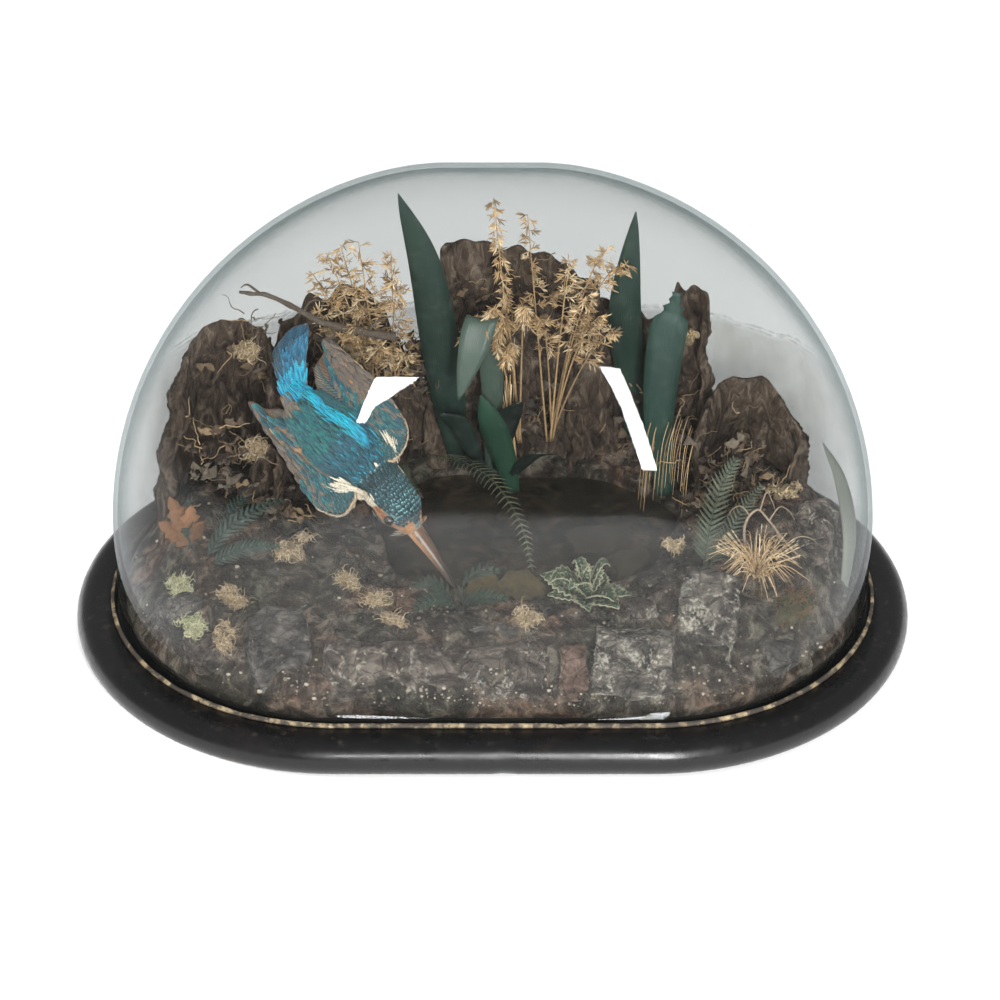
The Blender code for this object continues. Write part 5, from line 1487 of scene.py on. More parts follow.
@dataclass
class Grasses:
    """Dried panicles, the straw bundle, the tuft on the right bank and the rootlet."""

    golds: tuple[Colour, ...] = ((0.47, 0.33, 0.18), (0.36, 0.245, 0.13), (0.58, 0.46, 0.30), (0.25, 0.165, 0.085))

    def spikelet(self, mesh: Mesh, root: Vector, way: Vector, length: float, tone: np.ndarray) -> None:
        """A small pointed grain in its husk."""
        path = [root, root + way * length * 0.35, root + way * length * 0.7, root + way * length]
        mesh.tube(path, [0.08, 0.125 * length ** 0.6, 0.11 * length ** 0.6, 0.03], 4, tone)

    def panicle(self, mesh: Mesh, points: Sequence[Point], bare: float, branches: int, spread: float,
                droop: float, dice: random.Random) -> None:
        """A grass head: a stem with arching branches that carry grains.

        Args:
            mesh: what it is added to.
            points: the stem's curve.
            bare: share of the stem below the first branch.
            branches: how many.
            spread: length of the longest branch.
            droop: how far branches hang.
            dice: its chance.
        """
        path = [curve_point(points, i / 30) for i in range(31)]
        mesh.tube(path, [0.62 - 0.42 * i / 30 for i in range(31)], 5, shade_of(self.golds[1], dice, 0.2))
        for i in range(branches):
            along = bare + (1.0 - bare) * (i + dice.random()) / branches
            root = curve_point(points, along)
            ahead = (curve_point(points, along + 0.02) - curve_point(points, along - 0.02)).normalized()
            side = Vector((dice.gauss(0, 1), 0.6 * dice.gauss(0, 1), 0.3 * dice.gauss(0, 1))).normalized()
            way = (ahead * 0.7 + side).normalized()
            long = spread * dice.uniform(0.5, 1.0) * (1.0 - 0.6 * (along - bare) / (1.0 - bare))
            tone = shade_of(dice.choice(self.golds), dice, 0.25)
            twig = []
            for k in range(6):
                share = k / 5.0
                twig.append(root + way * long * share + Vector((0.0, 0.0, -droop * long * share * share)))
            mesh.tube(twig, [0.22, 0.20, 0.18, 0.15, 0.13, 0.08], 3, tone)
            for _ in range(dice.randrange(5, 10)):
                share = dice.uniform(0.3, 1.0)
                place = twig[min(4, int(share * 5))].lerp(twig[min(5, int(share * 5) + 1)], share * 5 % 1.0)
                turn = (way + Vector((dice.gauss(0, 0.5), dice.gauss(0, 0.5), dice.gauss(0, 0.5) - droop))).normalized()
                self.spikelet(mesh, place, turn, dice.uniform(2.6, 5.0), shade_of(tone, dice, 0.2))

    def heads(self) -> None:
        """The three groups of grass heads behind the pond."""
        finish = TonedMatter("dry_straw", 1.5, 0.08, 0.7)
        left, middle, right = (-54.0, 80.0, 52.0), (14.0, 70.0, 60.0), (30.0, 72.0, 60.0)
        groups = (
            ("grass_left_heads", "grass_left", left, 0.44, 34, 13.0, 0.55,
             (((-35.0, -26.0, 116.0), 10.0), ((-29.0, -27.0, 129.0), 8.0), ((-20.0, -28.0, 134.0), 8.0),
              ((-10.0, -30.0, 137.0), 6.0), ((0.0, -34.0, 133.0), 10.0), ((7.0, -34.0, 118.0), 16.0),
              ((-32.0, -28.0, 96.0), 14.0), ((-24.0, -30.0, 84.0), 16.0), ((-12.0, -34.0, 92.0), 16.0),
              ((-4.0, -38.0, 80.0), 18.0), ((8.0, -34.0, 74.0), 18.0), ((-16.0, -24.0, 110.0), 8.0))),
            ("grass_centre_heads", "grass_centre", middle, 0.56, 52, 5.5, 1.3,
             (((-14.0, -18.0, 152.0), 0.0), ((-19.0, -26.0, 84.0), 38.0), ((-12.0, -28.0, 72.0), 42.0),
              ((-28.0, -24.0, 78.0), 36.0), ((2.0, -26.0, 96.0), 26.0), ((-6.0, -28.0, 66.0), 30.0))),
            ("grass_right_heads", "grass_right", right, 0.52, 30, 8.5, 0.5,
             (((-11.0, -16.0, 142.0), 0.0), ((8.0, -26.0, 122.0), 10.0), ((26.0, -28.0, 128.0), 22.0),
              ((37.0, -28.0, 120.0), 26.0), ((22.0, -32.0, 92.0), 14.0), ((30.0, -30.0, 84.0), 10.0),
              ((16.0, -30.0, 104.0), 12.0), ((-6.0, -30.0, 90.0), 14.0))),
        )
        for number, (name, node, root, bare, branches, spread, droop, stems) in enumerate(groups):
            dice = random.Random(51 + number)
            mesh = Mesh()
            for tip, arch in stems:
                base = Vector(root) + Vector((dice.gauss(0, 1.2), dice.gauss(0, 1.2), 0.0))
                end = base + Vector(tip)
                points = []
                for k in range(5):
                    share = k / 4.0
                    points.append(base.lerp(end, share) + Vector((0.0, 0.0, 4.0 * arch * share * (1.0 - share))))
                self.panicle(mesh, points, bare, branches, spread, droop, dice)
            mesh.piece(name, finish, "dry_grass", [node])

    def straws(self) -> None:
        """The straw bundle, the golden tuft, the hanging grass and the rootlet."""
        finish = TonedMatter("dry_straw", 1.5, 0.08, 0.7)
        dice = random.Random(61)
        mesh = Mesh()
        for _ in range(26):
            dx, dy = dice.gauss(0.0, 1.1), dice.gauss(0.0, 1.1)
            flare = dice.gauss(0.0, 2.4)
            points = [(11.0 + dx, 60.0 + dy, 46.0), (9.0 + dx * 0.8, 61.0 + dy * 0.8, 72.0),
                      (6.0 + dx + flare, 62.0 + dy, dice.uniform(88.0, 106.0))]
            mesh.tube([curve_point(points, i / 8) for i in range(9)], [0.34] * 8 + [0.2], 4,
                      shade_of(dice.choice(self.golds), dice, 0.3))
        mesh.piece("straw_bundle_tied", finish, "dry_grass", ["straw_bundle"])
        mesh = Mesh()
        for _ in range(120):
            angle = dice.uniform(0.0, 2.0 * math.pi)
            reach = dice.uniform(9.0, 27.0)
            lift = dice.uniform(1.0, 17.0)
            root = Vector((129.0 + dice.gauss(0, 2), -44.0 + dice.gauss(0, 2), 55.0))
            tip = root + Vector((reach * math.cos(angle), reach * 0.9 * math.sin(angle), lift))
            middle = root.lerp(tip, 0.5) + Vector((0.0, 0.0, 6.0 + 0.3 * lift))
            mesh.tube([curve_point([root, middle, tip], i / 8) for i in range(9)],
                      [0.34 - 0.03 * i for i in range(9)], 4, shade_of(dice.choice(self.golds), dice, 0.3))
        for _ in range(26):
            angle = dice.uniform(-0.4, 3.5)
            root = Vector((129.0, -44.0, 60.0))
            way = Vector((math.cos(angle), 0.7 * math.sin(angle), 0.5)).normalized()
            for k in range(5):
                self.spikelet(mesh, root + way * (10.0 + 2.6 * k), way, 2.8, shade_of(self.golds[2], dice, 0.2))
        mesh.piece("grass_tuft_golden", finish, "dry_grass", ["grass_tuft"])
        mesh = Mesh()
        for _ in range(24):
            x, y = 86.0 + dice.uniform(-13.0, 13.0), 34.0 + dice.uniform(-8.0, 8.0)
            top = dice.uniform(72.0, 92.0)
            points = [(x + 6.0, y + 16.0, top), (x + 2.0, y + 2.0, top - 6.0), (x, y - 8.0, top - 24.0)]
            mesh.tube([curve_point(points, i / 8) for i in range(9)], [0.28 - 0.02 * i for i in range(9)], 4,
                      shade_of(dice.choice(self.golds), dice, 0.3))
        mesh.piece("grass_hanging", finish, "dry_grass")
        mesh = Mesh()
        tone = (0.24, 0.19, 0.14)
        main = [(126.0, -34.0, 50.0), (123.0, -30.0, 74.0), (129.0, -26.0, 82.0), (135.0, -28.0, 77.0),
                (142.0, -32.0, 69.0), (150.0, -38.0, 62.0)]
        mesh.tube([curve_point(main, i / 40) for i in range(41)], [0.75 - 0.008 * i for i in range(41)], 6, tone)
        for share, ox, oy, oz in ((0.3, -8.0, 4.0, 4.0), (0.45, 6.0, 5.0, 9.0), (0.6, 10.0, 6.0, 6.0),
                                  (0.7, 5.0, -8.0, -4.0), (0.85, 12.0, 3.0, 3.0)):
            root = curve_point(main, share)
            points = [root, root + Vector((ox * 0.5, oy * 0.5, oz)), root + Vector((ox, oy, oz * 0.3)),
                      root + Vector((ox * 1.3, oy * 0.6, -2.0))]
            mesh.tube([curve_point(points, i / 14) for i in range(15)], [0.45 - 0.024 * i for i in range(15)], 5, tone)
        mesh.piece("root_curl_fine", TonedMatter("rootlet", 1.5, 0.1, 0.9), "dry_grass", ["root_curl"])

    def build(self) -> None:
        """Build all the grasses."""
        self.heads()
        self.straws()


# ---------------------------------------------------------------- bird

CYAN: Colour = (0.004, 0.46, 0.60)
AZURE: Colour = (0.003, 0.26, 0.50)
DEEP: Colour = (0.008, 0.062, 0.090)
TEAL: Colour = (0.010, 0.100, 0.108)
TEAL_LIGHT: Colour = (0.035, 0.230, 0.240)
CROWN: Colour = (0.010, 0.038, 0.048)
CROWN_BAR: Colour = (0.20, 0.40, 0.42)
RUFOUS: Colour = (0.36, 0.145, 0.055)
CREAM: Colour = (0.66, 0.55, 0.41)
QUILL: Colour = (0.15, 0.095, 0.062)
TAN: Colour = (0.42, 0.30, 0.18)
SLATE: Colour = (0.020, 0.075, 0.125)
SMOKE: Colour = (0.135, 0.110, 0.088)
FADE_LATE = (0.0, 0.0, 0.10, 0.55, 1.0, 1.0)
FADE_BAR = (0.0, 0.0, 0.0, 0.18, 1.0, 0.5)
FADE_EVEN = (0.0, 0.2, 0.45, 0.7, 0.9, 1.0)


class Coat:
    """Collects feathers, each a thin closed vane, and builds them as one piece."""

    stations = (0.0, 0.28, 0.55, 0.76, 0.92, 1.0)
    widths = (0.40, 0.86, 1.0, 0.86, 0.52, 0.10)

    def __init__(self, seed: int) -> None:
        """Start empty, with a seed for its chance."""
        self.dice = random.Random(seed)
        self.rows: list[tuple] = []
        self.roots: list[tuple[Vector, np.ndarray]] = []

    def feather(self, root: Vector, way: Vector, normal: Vector, length: float, width: float,
                base: Sequence[float], tip: Sequence[float], place: tuple[float, float],
                lift: float = 0.12, fade: Sequence[float] = FADE_LATE) -> None:
        """Add one feather.

        Args:
            root: where it leaves the skin.
            way: the way it lies.
            normal: out of the skin.
            length: of the vane.
            width: of the vane.
            base: its colour at the root.
            tip: its colour at the tip.
            place: its root on the skin's unwrap.
            lift: how far the tip stands off, as a share of its length.
            fade: share of the tip's colour at each station.
        """
        dice = self.dice
        side = way.cross(normal).normalized()
        way = (way + side * dice.gauss(0.0, 0.09)).normalized()
        normal = side.cross(way).normalized()
        length *= dice.uniform(0.86, 1.14)
        base = shade_of(base, dice, 0.22)
        tip = shade_of(tip, dice, 0.18)
        self.rows.append((root, way, normal, side, length, width * 0.5, base, tip, place,
                          lift * dice.uniform(0.7, 1.3), fade))
        self.roots.append((root + way * length * 0.5, 0.5 * (base + tip)))

    def build(self, name: str, finish: Finish, nodes: Sequence[str] = ()) -> None:
        """Build all the feathers as one piece."""
        count = len(self.rows)
        roots, ways, normals, sides = (np.array([tuple(r[k]) for r in self.rows]) for k in range(4))
        lengths, halves, lifts = (np.array([r[k] for r in self.rows])[:, None] for k in (4, 5, 9))
        bases, tips, places = (np.array([r[k] for r in self.rows]) for k in (6, 7, 8))
        fades = np.array([r[10] for r in self.rows])
        points, tones, lies, maps = [], [], [], []
        for k, (share, wide) in enumerate(zip(self.stations, self.widths)):
            rise = lengths * (lifts * share - 0.9 * lifts * share * share) + 0.10
            middle = roots + ways * lengths * share + normals * rise
            spread = sides * halves * wide
            crown = normals * (0.07 + halves * 0.22 * wide)
            tone = bases * (1.0 - fades[:, k:k + 1]) + tips * fades[:, k:k + 1]
            for across, point in ((-1.0, middle - spread), (0.0, middle + crown), (1.0, middle + spread)):
                points.append(point)
                tones.append(tone)
                lies.append(np.tile((across * wide, share * 1.5, 0.0), (count, 1)))
                maps.append(places + 0.0015 * np.array((across * wide, 2.0 * share - 1.0)))
        stack = [np.stack(part, 1) for part in (points, tones, lies, maps)]
        local = []
        for k in range(len(self.stations) - 1):
            for i in range(3):
                j = (i + 1) % 3
                local.append((3 * k + i, 3 * k + j, 3 * k + 3 + j, 3 * k + 3 + i))
        size = 3 * len(self.stations)
        local += [(2, 1, 0), (size - 3, size - 2, size - 1)]
        faces = [tuple(i + n * size for i in face) for n in range(count) for face in local]
        mesh = Mesh()
        mesh.add(stack[0], faces, stack[1].reshape(-1, 3), stack[2].reshape(-1, 3), stack[3].reshape(-1, 2))
        mesh.piece(name, finish, "plumage", nodes)


@dataclass
class BodyForm:
    """The body's shape from rump to face, by place along it and angle round it."""

    line: tuple[Point, ...] = ((-96.5, 12.4, 123.0), (-88.0, 4.8, 116.7), (-75.2, -1.5, 106.8), (-62.6, -6.0, 96.3),
                               (-54.3, -9.6, 86.9), (-46.0, -13.3, 75.7), (-39.2, -16.4, 65.4))
    half: tuple[tuple[float, float], ...] = ((8.6, 5.5), (14.0, 12.0), (17.5, 16.5), (16.0, 15.5), (11.8, 12.5),
                                             (11.6, 12.8), (6.8, 7.4))
    roll: tuple[float, ...] = (12.0, 14.0, 15.0, 17.0, 22.0, 28.0, 30.0)
    toward: Vector = Vector((0.0, -0.8406, 0.5417))

    def frame(self, along: float) -> tuple[Vector, Vector, Vector, Vector, float, float]:
        """Centre, forward, left and back directions, and half sizes."""
        centre = curve_point(self.line, along)
        forward = (curve_point(self.line, along + 0.02) - curve_point(self.line, along - 0.02)).normalized()
        place = min(max(along, 0.0), 1.0) * (len(self.line) - 1)
        i = min(int(place), len(self.line) - 2)
        t = place - i
        t = t * t * (3.0 - 2.0 * t)
        width = self.half[i][0] * (1 - t) + self.half[i + 1][0] * t
        depth = self.half[i][1] * (1 - t) + self.half[i + 1][1] * t
        roll = math.radians(self.roll[i] * (1 - t) + self.roll[i + 1] * t)
        left = self.toward.cross(forward).normalized()
        back = forward.cross(left).normalized()
        rolled = back * math.cos(roll) + left * math.sin(roll)
        return centre, forward, rolled.cross(forward).normalized(), rolled, width, depth

    def surface(self, along: float, angle: float, inset: float = 0.0, swell: float = 1.0,
                shift: float = 0.0) -> Vector:
        """A point on the skin; angle 0 is the bird's left and a quarter turn its back."""
        centre, forward, left, back, width, depth = self.frame(along)
        up = math.sin(angle)
        rise = up * ((0.88 if up > 0.0 else 1.06) * depth - inset)
        return centre + forward * shift + (left * math.cos(angle) * (width - inset) + back * rise) * swell

    def lie(self, along: float, angle: float, inset: float) -> tuple[Vector, Vector, Vector]:
        """Root, the way to the tail, and the outward normal."""
        root = self.surface(along, angle, inset)
        to_tail = (self.surface(along - 0.03, angle, inset) - self.surface(along + 0.03, angle, inset)).normalized()
        round_way = self.surface(along, angle + 0.05, inset) - self.surface(along, angle - 0.05, inset)
        normal = to_tail.cross(round_way).normalized()
        if normal.dot(root - self.frame(along)[0]) < 0.0:
            normal = -normal
        return root, to_tail, normal

    def eye(self, side: float) -> Vector:
        """Centre of an eye; side is 1 for the bird's left."""
        centre, _, left, back, width, depth = self.frame(0.85)
        return centre + left * side * (width - 1.15) + back * 0.26 * depth


@dataclass
class Wing:
    """One half-open wing, between its leading and trailing lines."""

    name: str
    leading: tuple[Point, ...]
    trailing: tuple[Point, ...]
    toward: Vector
    brown: float
    camber: float = 0.10

    def surface(self, along: float, u: float) -> Vector:
        """A point on the middle of the wing."""
        front, rear = curve_point(self.leading, along), curve_point(self.trailing, along)
        return front.lerp(rear, u) + self.up(along) * self.camber * (rear - front).length * u * (1.0 - u)

    def up(self, along: float) -> Vector:
        """Out of the wing's upper side."""
        near, far = max(0.0, along - 0.04), min(1.0, along + 0.04)
        ahead = (curve_point(self.leading, far) + curve_point(self.trailing, far)
                 - curve_point(self.leading, near) - curve_point(self.trailing, near))
        chord = curve_point(self.trailing, along) - curve_point(self.leading, along)
        lift = chord.cross(ahead).normalized()
        return lift if lift.dot(self.toward) > 0.0 else -lift

    def thick(self, along: float, u: float) -> float:
        """Half thickness of the flesh."""
        return 0.5 * max(0.9, (5.5 - 4.5 * along ** 0.7) * (1.0 - 0.65 * u) - 0.9)

    def way(self, along: float, u: float) -> Vector:
        """The way feathers lie: toward the wing's tip, and from the wrist toward the tail."""
        tip = self.surface(0.985, 0.5)
        rear = self.surface(min(1.0, along + 0.28), 0.96)
        here = self.surface(along, u)
        share = min(1.0, 0.30 + along)
        return ((tip - here).normalized() * share + (rear - here).normalized() * (1.1 - share)).normalized()


class Kingfisher:
    """The bird: one skin, its coat, wings, tail, eyes, bill and feet."""

    def __init__(self) -> None:
        """Set the form, the wings and the coats."""
        self.form = BodyForm()
        self.tail_line = ((-96.5, 12.4, 123.0), (-99.4, 27.7, 133.8), (-100.0, 44.3, 142.9))
        self.coats: list[Coat] = []
        self.wings = (
            Wing("right", ((-66.3, -16.6, 94.5), (-67.2, -22.4, 85.4), (-72.8, -22.5, 76.5), (-82.2, -18.4, 75.1),
                           (-89.7, -13.3, 79.3), (-99.3, -2.0, 89.5), (-110.0, 11.3, 100.9), (-120.9, 25.0, 111.1)),
                 ((-68.7, -13.2, 101.6), (-71.2, -12.1, 103.2), (-74.6, -10.0, 105.3), (-78.5, -6.5, 108.3),
                  (-82.5, -0.5, 112.0), (-90.5, 6.2, 115.2), (-104.7, 12.7, 112.3), (-117.3, 24.4, 112.0)),
                 self.form.toward, 0.16),
            Wing("left", ((-55.5, -11.8, 101.9), (-48.7, -11.3, 101.0), (-42.9, -4.9, 104.2), (-41.5, 2.8, 109.9),
                          (-45.9, 9.8, 117.1), (-54.4, 18.2, 124.6), (-67.9, 30.0, 133.6), (-81.5, 41.0, 139.6)),
                 ((-58.9, -10.0, 106.5), (-60.9, -8.4, 109.0), (-63.8, -6.0, 111.0), (-67.3, -1.8, 113.9),
                  (-73.8, 6.0, 118.3), (-82.8, 14.9, 123.1), (-85.6, 25.9, 129.1), (-84.5, 39.9, 138.0)),
                 self.form.toward, 0.55),
        )

    def marking(self, along: float, away: float, left: bool, dice: random.Random) -> tuple:
        """The colours of a body feather.

        Args:
            along: place from the rump, 0, to the face, 1.
            away: degrees from the middle of the back.
            left: whether it is on the bird's left.
            dice: its chance.

        Returns:
            Base colour, tip colour, and the fade between them.
        """
        if along > 0.95 and 20.0 < away < 80.0:
            return RUFOUS, (0.66, 0.36, 0.15), FADE_EVEN
        if along > 0.575 and away < 68.0 - 60.0 * max(0.0, along - 0.86):
            return CROWN, CROWN_BAR, FADE_BAR
        if along > 0.57:
            if along > 0.745 and away < 106.0:
                lore = along > 0.90 and away < 74.0
                dark = (0.025, 0.018, 0.015)
                pale = (0.50, 0.29, 0.16) if dice.random() < 0.7 else (0.20, 0.10, 0.055)
                return (RUFOUS, dark, FADE_EVEN) if lore else (RUFOUS, pale, FADE_EVEN)
            if along < 0.745 and away < 122.0:
                return CREAM, (0.80, 0.72, 0.58), FADE_EVEN
            if away < 128.0:
                return CROWN, TEAL_LIGHT, FADE_BAR
            return CREAM, (0.78, 0.66, 0.50), FADE_EVEN
        if along < 0.14 and 18.0 < away < 100.0 and not left:
            return SMOKE, (0.22, 0.18, 0.14), FADE_EVEN
        if away < 118.0:
            if along > 0.36:
                bright = dice.random() < 0.16 and away < 52.0
                return DEEP, ((0.008, 0.22, 0.30) if bright else (0.012, 0.085, 0.115)), FADE_EVEN
            return (DEEP, TEAL, FADE_EVEN) if dice.random() < 0.6 else (TEAL, (0.02, 0.15, 0.14), FADE_EVEN)
        return RUFOUS, (0.52, 0.21, 0.075), FADE_EVEN

    def body_coat(self) -> None:
        """Feathers of the trunk and of the head, row by row from the face to the tail."""
        trunk, head = Coat(71), Coat(72)
        self.coats += [trunk, head]
        eyes = [self.form.eye(1.0), self.form.eye(-1.0)]
        along, row = 1.0, 0
        while along > 0.0:
            on_head = along > 0.58
            gap = 2.1 if on_head else 1.6
            _, _, _, _, width, depth = self.form.frame(along)
            count = int(2.0 * math.pi * 0.5 * (width + depth) / (1.7 if on_head else 1.6))
            for k in range(count):
                angle = 2.0 * math.pi * (k + 0.5 * (row % 2)) / count
                coat = head if on_head else trunk
                dice = coat.dice
                angle += dice.gauss(0.0, 0.02 if on_head else 0.05)
                spot = along + dice.gauss(0.0, 0.0015 if on_head else 0.004)
                away = abs(math.degrees(angle) - 90.0)
                away = 360.0 - away if away > 180.0 else away
                base, tip, fade = self.marking(spot, away, math.cos(angle) > 0.0, dice)
                root, way, normal = self.form.lie(spot, angle, 0.75 if on_head else 1.0)
                near = min((root - eye).length for eye in eyes)
                if near < 3.0:
                    continue
                size, wide = (5.6, 2.2) if away < 80.0 else (6.8, 2.2)
                lift = 0.17 if away < 100.0 else 0.24
                if on_head:
                    size, wide, lift = (4.2, 2.3, 0.11) if near > 5.0 and spot < 0.94 else (3.0, 1.9, 0.10)
                    if base is CREAM:
                        size, wide, lift = 6.0, 1.5, 0.22
                    elif base is RUFOUS:
                        size, wide = 3.0, 1.1
                coat.feather(root, way, normal, size, wide, base, tip, (angle / (2.0 * math.pi) % 1.0, spot),
                             lift, fade)
            along -= gap / 82.0
            row += 1
        self.stripe(trunk)
        self.neck_plume(head)
        head.build("coat_head", Plumage("plumage_head", 10.0, 0.1, 0.6))
        trunk.build("coat_trunk", Plumage("plumage_trunk", 22.0, 0.15, 0.55))

    def stripe(self, coat: Coat) -> None:
        """The loose bright feathers down the back, in a narrow line that widens at the rump."""
        dice = coat.dice
        for number in range(420):
            along = 0.46 * (number / 420.0) ** 1.15
            narrow = 0.10 + 0.34 * max(0.0, 0.13 - along) / 0.13
            angle = math.radians(72.0) + dice.gauss(0.0, narrow)
            root, way, normal = self.form.lie(along, angle, 0.1)
            base = AZURE if dice.random() < 0.6 else DEEP
            coat.feather(root + normal * dice.uniform(0.0, 0.5), way, normal, dice.uniform(4.5, 8.0),
                         dice.uniform(0.7, 1.3), base, CYAN, (angle / (2.0 * math.pi), along), 0.16, FADE_EVEN)
        for _ in range(120):
            along = dice.uniform(0.32, 0.58)
            angle = math.radians(78.0) + dice.gauss(0.0, 0.55)
            root, way, normal = self.form.lie(along, angle, 0.1)
            coat.feather(root, way, normal, dice.uniform(3.0, 5.0), dice.uniform(0.6, 1.0), DEEP,
                         (0.006, 0.22, 0.34) if dice.random() < 0.75 else CYAN, (angle / (2.0 * math.pi), along), 0.2, FADE_LATE)

    def neck_plume(self, coat: Coat) -> None:
        """The cream tufts behind the cheeks, which spread over the shoulders."""
        dice = coat.dice
        for side, count, low, high, near, far in ((180.0, 190, 0.50, 0.67, 58.0, 108.0),
                                                  (0.0, 46, 0.40, 0.55, 68.0, 94.0), (0.0, 60, 0.50, 0.62, 42.0, 54.0)):
            for _ in range(count):
                along = dice.uniform(low, high)
                away = dice.uniform(near, far)
                angle = math.radians(90.0 + away if side else 90.0 - away)
                root, way, normal = self.form.lie(along, angle, 0.0)
                root += normal * dice.uniform(0.5, 1.7)
                way = (way + normal * 0.22 + Vector((-0.5 if side else 0.0, 0.0, 0.05))).normalized()
                coat.feather(root, way, normal, dice.uniform(5.5, 9.5), dice.uniform(0.8, 1.4), CREAM,
                             (0.82, 0.75, 0.62), (angle / (2.0 * math.pi), along), 0.16, FADE_EVEN)

    def skin(self) -> None:
        """One closed skin under the coat, from the face to the wings' and tail's flesh."""
        build = Mesh()
        rows = []
        for shift, swell in ((-3.4, 0.30), (-2.4, 0.62), (-1.0, 0.86)):
            rows.append([tuple(self.form.surface(0.03, 2.0 * math.pi * i / 36, 1.0, swell, shift)) for i in range(36)])
        for step in range(49):
            along = 0.03 + 0.97 * step / 48
            rows.append([tuple(self.form.surface(along, 2.0 * math.pi * i / 36, 1.0 if along < 0.6 else 0.8))
                         for i in range(36)])
        for shift, swell in ((0.8, 0.84), (1.6, 0.55)):
            rows.append([tuple(self.form.surface(1.0, 2.0 * math.pi * i / 36, 0.8, swell, shift)) for i in range(36)])
        build.grid(np.array(rows), wrap=True, start_cap=True, end_cap=True)
        for wing in self.wings:
            rows = []
            for step in range(29):
                along = 0.90 * step / 28
                ring = []
                for u, side in ((0.03, 0), (0.12, 1), (0.35, 1), (0.62, 1), (0.86, 0), (0.62, -1), (0.35, -1),
                                (0.12, -1)):
                    ring.append(tuple(wing.surface(along, u) + wing.up(along) * side * wing.thick(along, u)))
                rows.append(ring)
            build.grid(np.array(rows), wrap=True, start_cap=True, end_cap=True)
        rows = []
        _, _, left, back, _, _ = self.form.frame(0.0)
        for along, half, deep in ((0.0, 6.0, 4.0), (0.2, 7.0, 2.8), (0.4, 7.0, 2.0), (0.6, 6.0, 1.3)):
            centre = curve_point(self.tail_line, along)
            rows.append([tuple(centre + left * half * math.cos(2 * math.pi * i / 12)
                               + back * 0.5 * deep * math.sin(2 * math.pi * i / 12)) for i in range(12)])
        build.grid(np.array(rows), wrap=True, start_cap=True, end_cap=True)
        skin = build.piece("skin_whole", Plumage("plumage_skin", 20.0, 0.2, 0.6), "plumage",
                           ["trunk", "neck", "head", "tail", "wing_left", "wing_right"])
        remesh = skin.modifiers.new("whole", "REMESH")
        remesh.mode = "VOXEL"
        remesh.voxel_size = 0.60 * MM
        soft = skin.modifiers.new("soft", "SMOOTH")
        soft.iterations = 4
        bpy.context.view_layer.update()
        graph = bpy.context.evaluated_depsgraph_get()
        whole = bpy.data.meshes.new_from_object(skin.evaluated_get(graph))
        skin.modifiers.clear()
        whole.materials.clear()
        whole.materials.append(skin.data.materials[0])
        self.paint(whole)
        whole.shade_smooth()
        skin.data = whole
        LOG.info("skin_whole: %d faces after joining", len(whole.polygons))

    def paint(self, mesh: bpy.types.Mesh) -> None:
        """Give the skin the colours of the nearest feathers, so that both carry one set of markings, darkened as
        painted shade for the gaps between feathers.
        """
        from mathutils.kdtree import KDTree
        spots = [spot for coat in self.coats for spot in coat.roots]
        tree = KDTree(len(spots))
        for index, (place, _) in enumerate(spots):
            tree.insert(place, index)
        tree.balance()
        for name in ("tone", "lie"):
            if name in mesh.attributes:
                mesh.attributes.remove(mesh.attributes[name])
        tone = mesh.color_attributes.new("tone", "FLOAT_COLOR", "POINT")
        lie = mesh.attributes.new("lie", "FLOAT_VECTOR", "POINT")
        colours = np.ones((len(mesh.vertices), 4), np.float32)
        for vert in mesh.vertices:
            near = tree.find_n(vert.co / MM, 3)
            # Painted shade: the skin takes seven tenths of the feathers' colour, darker where it shows between them.
            colours[vert.index, :3] = np.mean([spots[index][1] for _, index, _ in near], 0) * 0.7
        tone.data.foreach_set("color", colours.ravel())
        lies = np.tile((0.5, 0.5, 0.0), (len(mesh.vertices), 1)).astype(np.float32)
        lie.data.foreach_set("vector", lies.ravel())

    def quill(self, mesh: Mesh, path: Sequence[Vector], normal: Vector, half: float, skew: float,
              inner: Sequence[float], outer: Sequence[float], place: tuple[float, float], maps: list,
              blunt: float = 0.5) -> None:
        """Add a flight feather: a closed vane with a narrow outer and a wide inner web.

        Args:
            mesh: what it is added to.
            path: the shaft.
            normal: out of its upper side.
            half: half width.
            skew: how far the shaft lies to the outer side, 0 to 1.
            inner: colour of the inner web.
            outer: colour of the outer web.
            place: its root on the unwrap.
            maps: the unwrap so far; not used.
            blunt: how square its tip is.
        """
        count = len(path)
        points, tones, lies = [], [], []
        for i, point in enumerate(path):
            share = i / (count - 1)
            ahead = (path[min(i + 1, count - 1)] - path[max(i - 1, 0)]).normalized()
            side = ahead.cross(normal).normalized()
            wide = half * min(1.0, 0.35 + 1.8 * share) * max(0.05, 1.0 - share ** (6.0 + 6.0 * blunt)) ** 0.5
            up = side.cross(ahead)
            for across, push in ((-1.0, 1.0 - skew), (-0.5, 1.0 - skew), (0.0, 1.0), (0.5, 1.0 + skew),
                                 (1.0, 1.0 + skew)):
                ridge = 0.30 * (1.0 - share) if across == 0.0 else 0.0
                notch = 0.12 * math.sin(share * 31.0 + across * 2.0) * abs(across)
                points.append(point + side * wide * (across * push + 0.05 * notch)
                              + up * (0.13 + ridge - 0.22 * wide * across * across))
                tones.append(np.asarray(outer if across < 0.0 else inner) * (1.0 - 0.15 * share))
                lies.append((across, share * half * 1.1, 0.0))
        top = np.array([tuple(p) for p in points])
        low = top - np.array(tuple(normal)) * 0.26
        faces = []
        total = count * 5
        for i in range(count - 1):
            for k in range(4):
                a, b = i * 5 + k, i * 5 + k + 1
                faces.append((a, b, b + 5, a + 5))
                faces.append((total + a + 5, total + b + 5, total + b, total + a))
            for a in (i * 5, i * 5 + 4):
                faces.append((a, a + 5, total + a + 5, total + a))
        for i in (0, count - 1):
            for k in range(4):
                a = i * 5 + k
                faces.append((a, a + 1, total + a + 1, total + a))
        under = [np.asarray(t) * 0.5 + np.asarray(SMOKE) * 0.5 for t in tones]
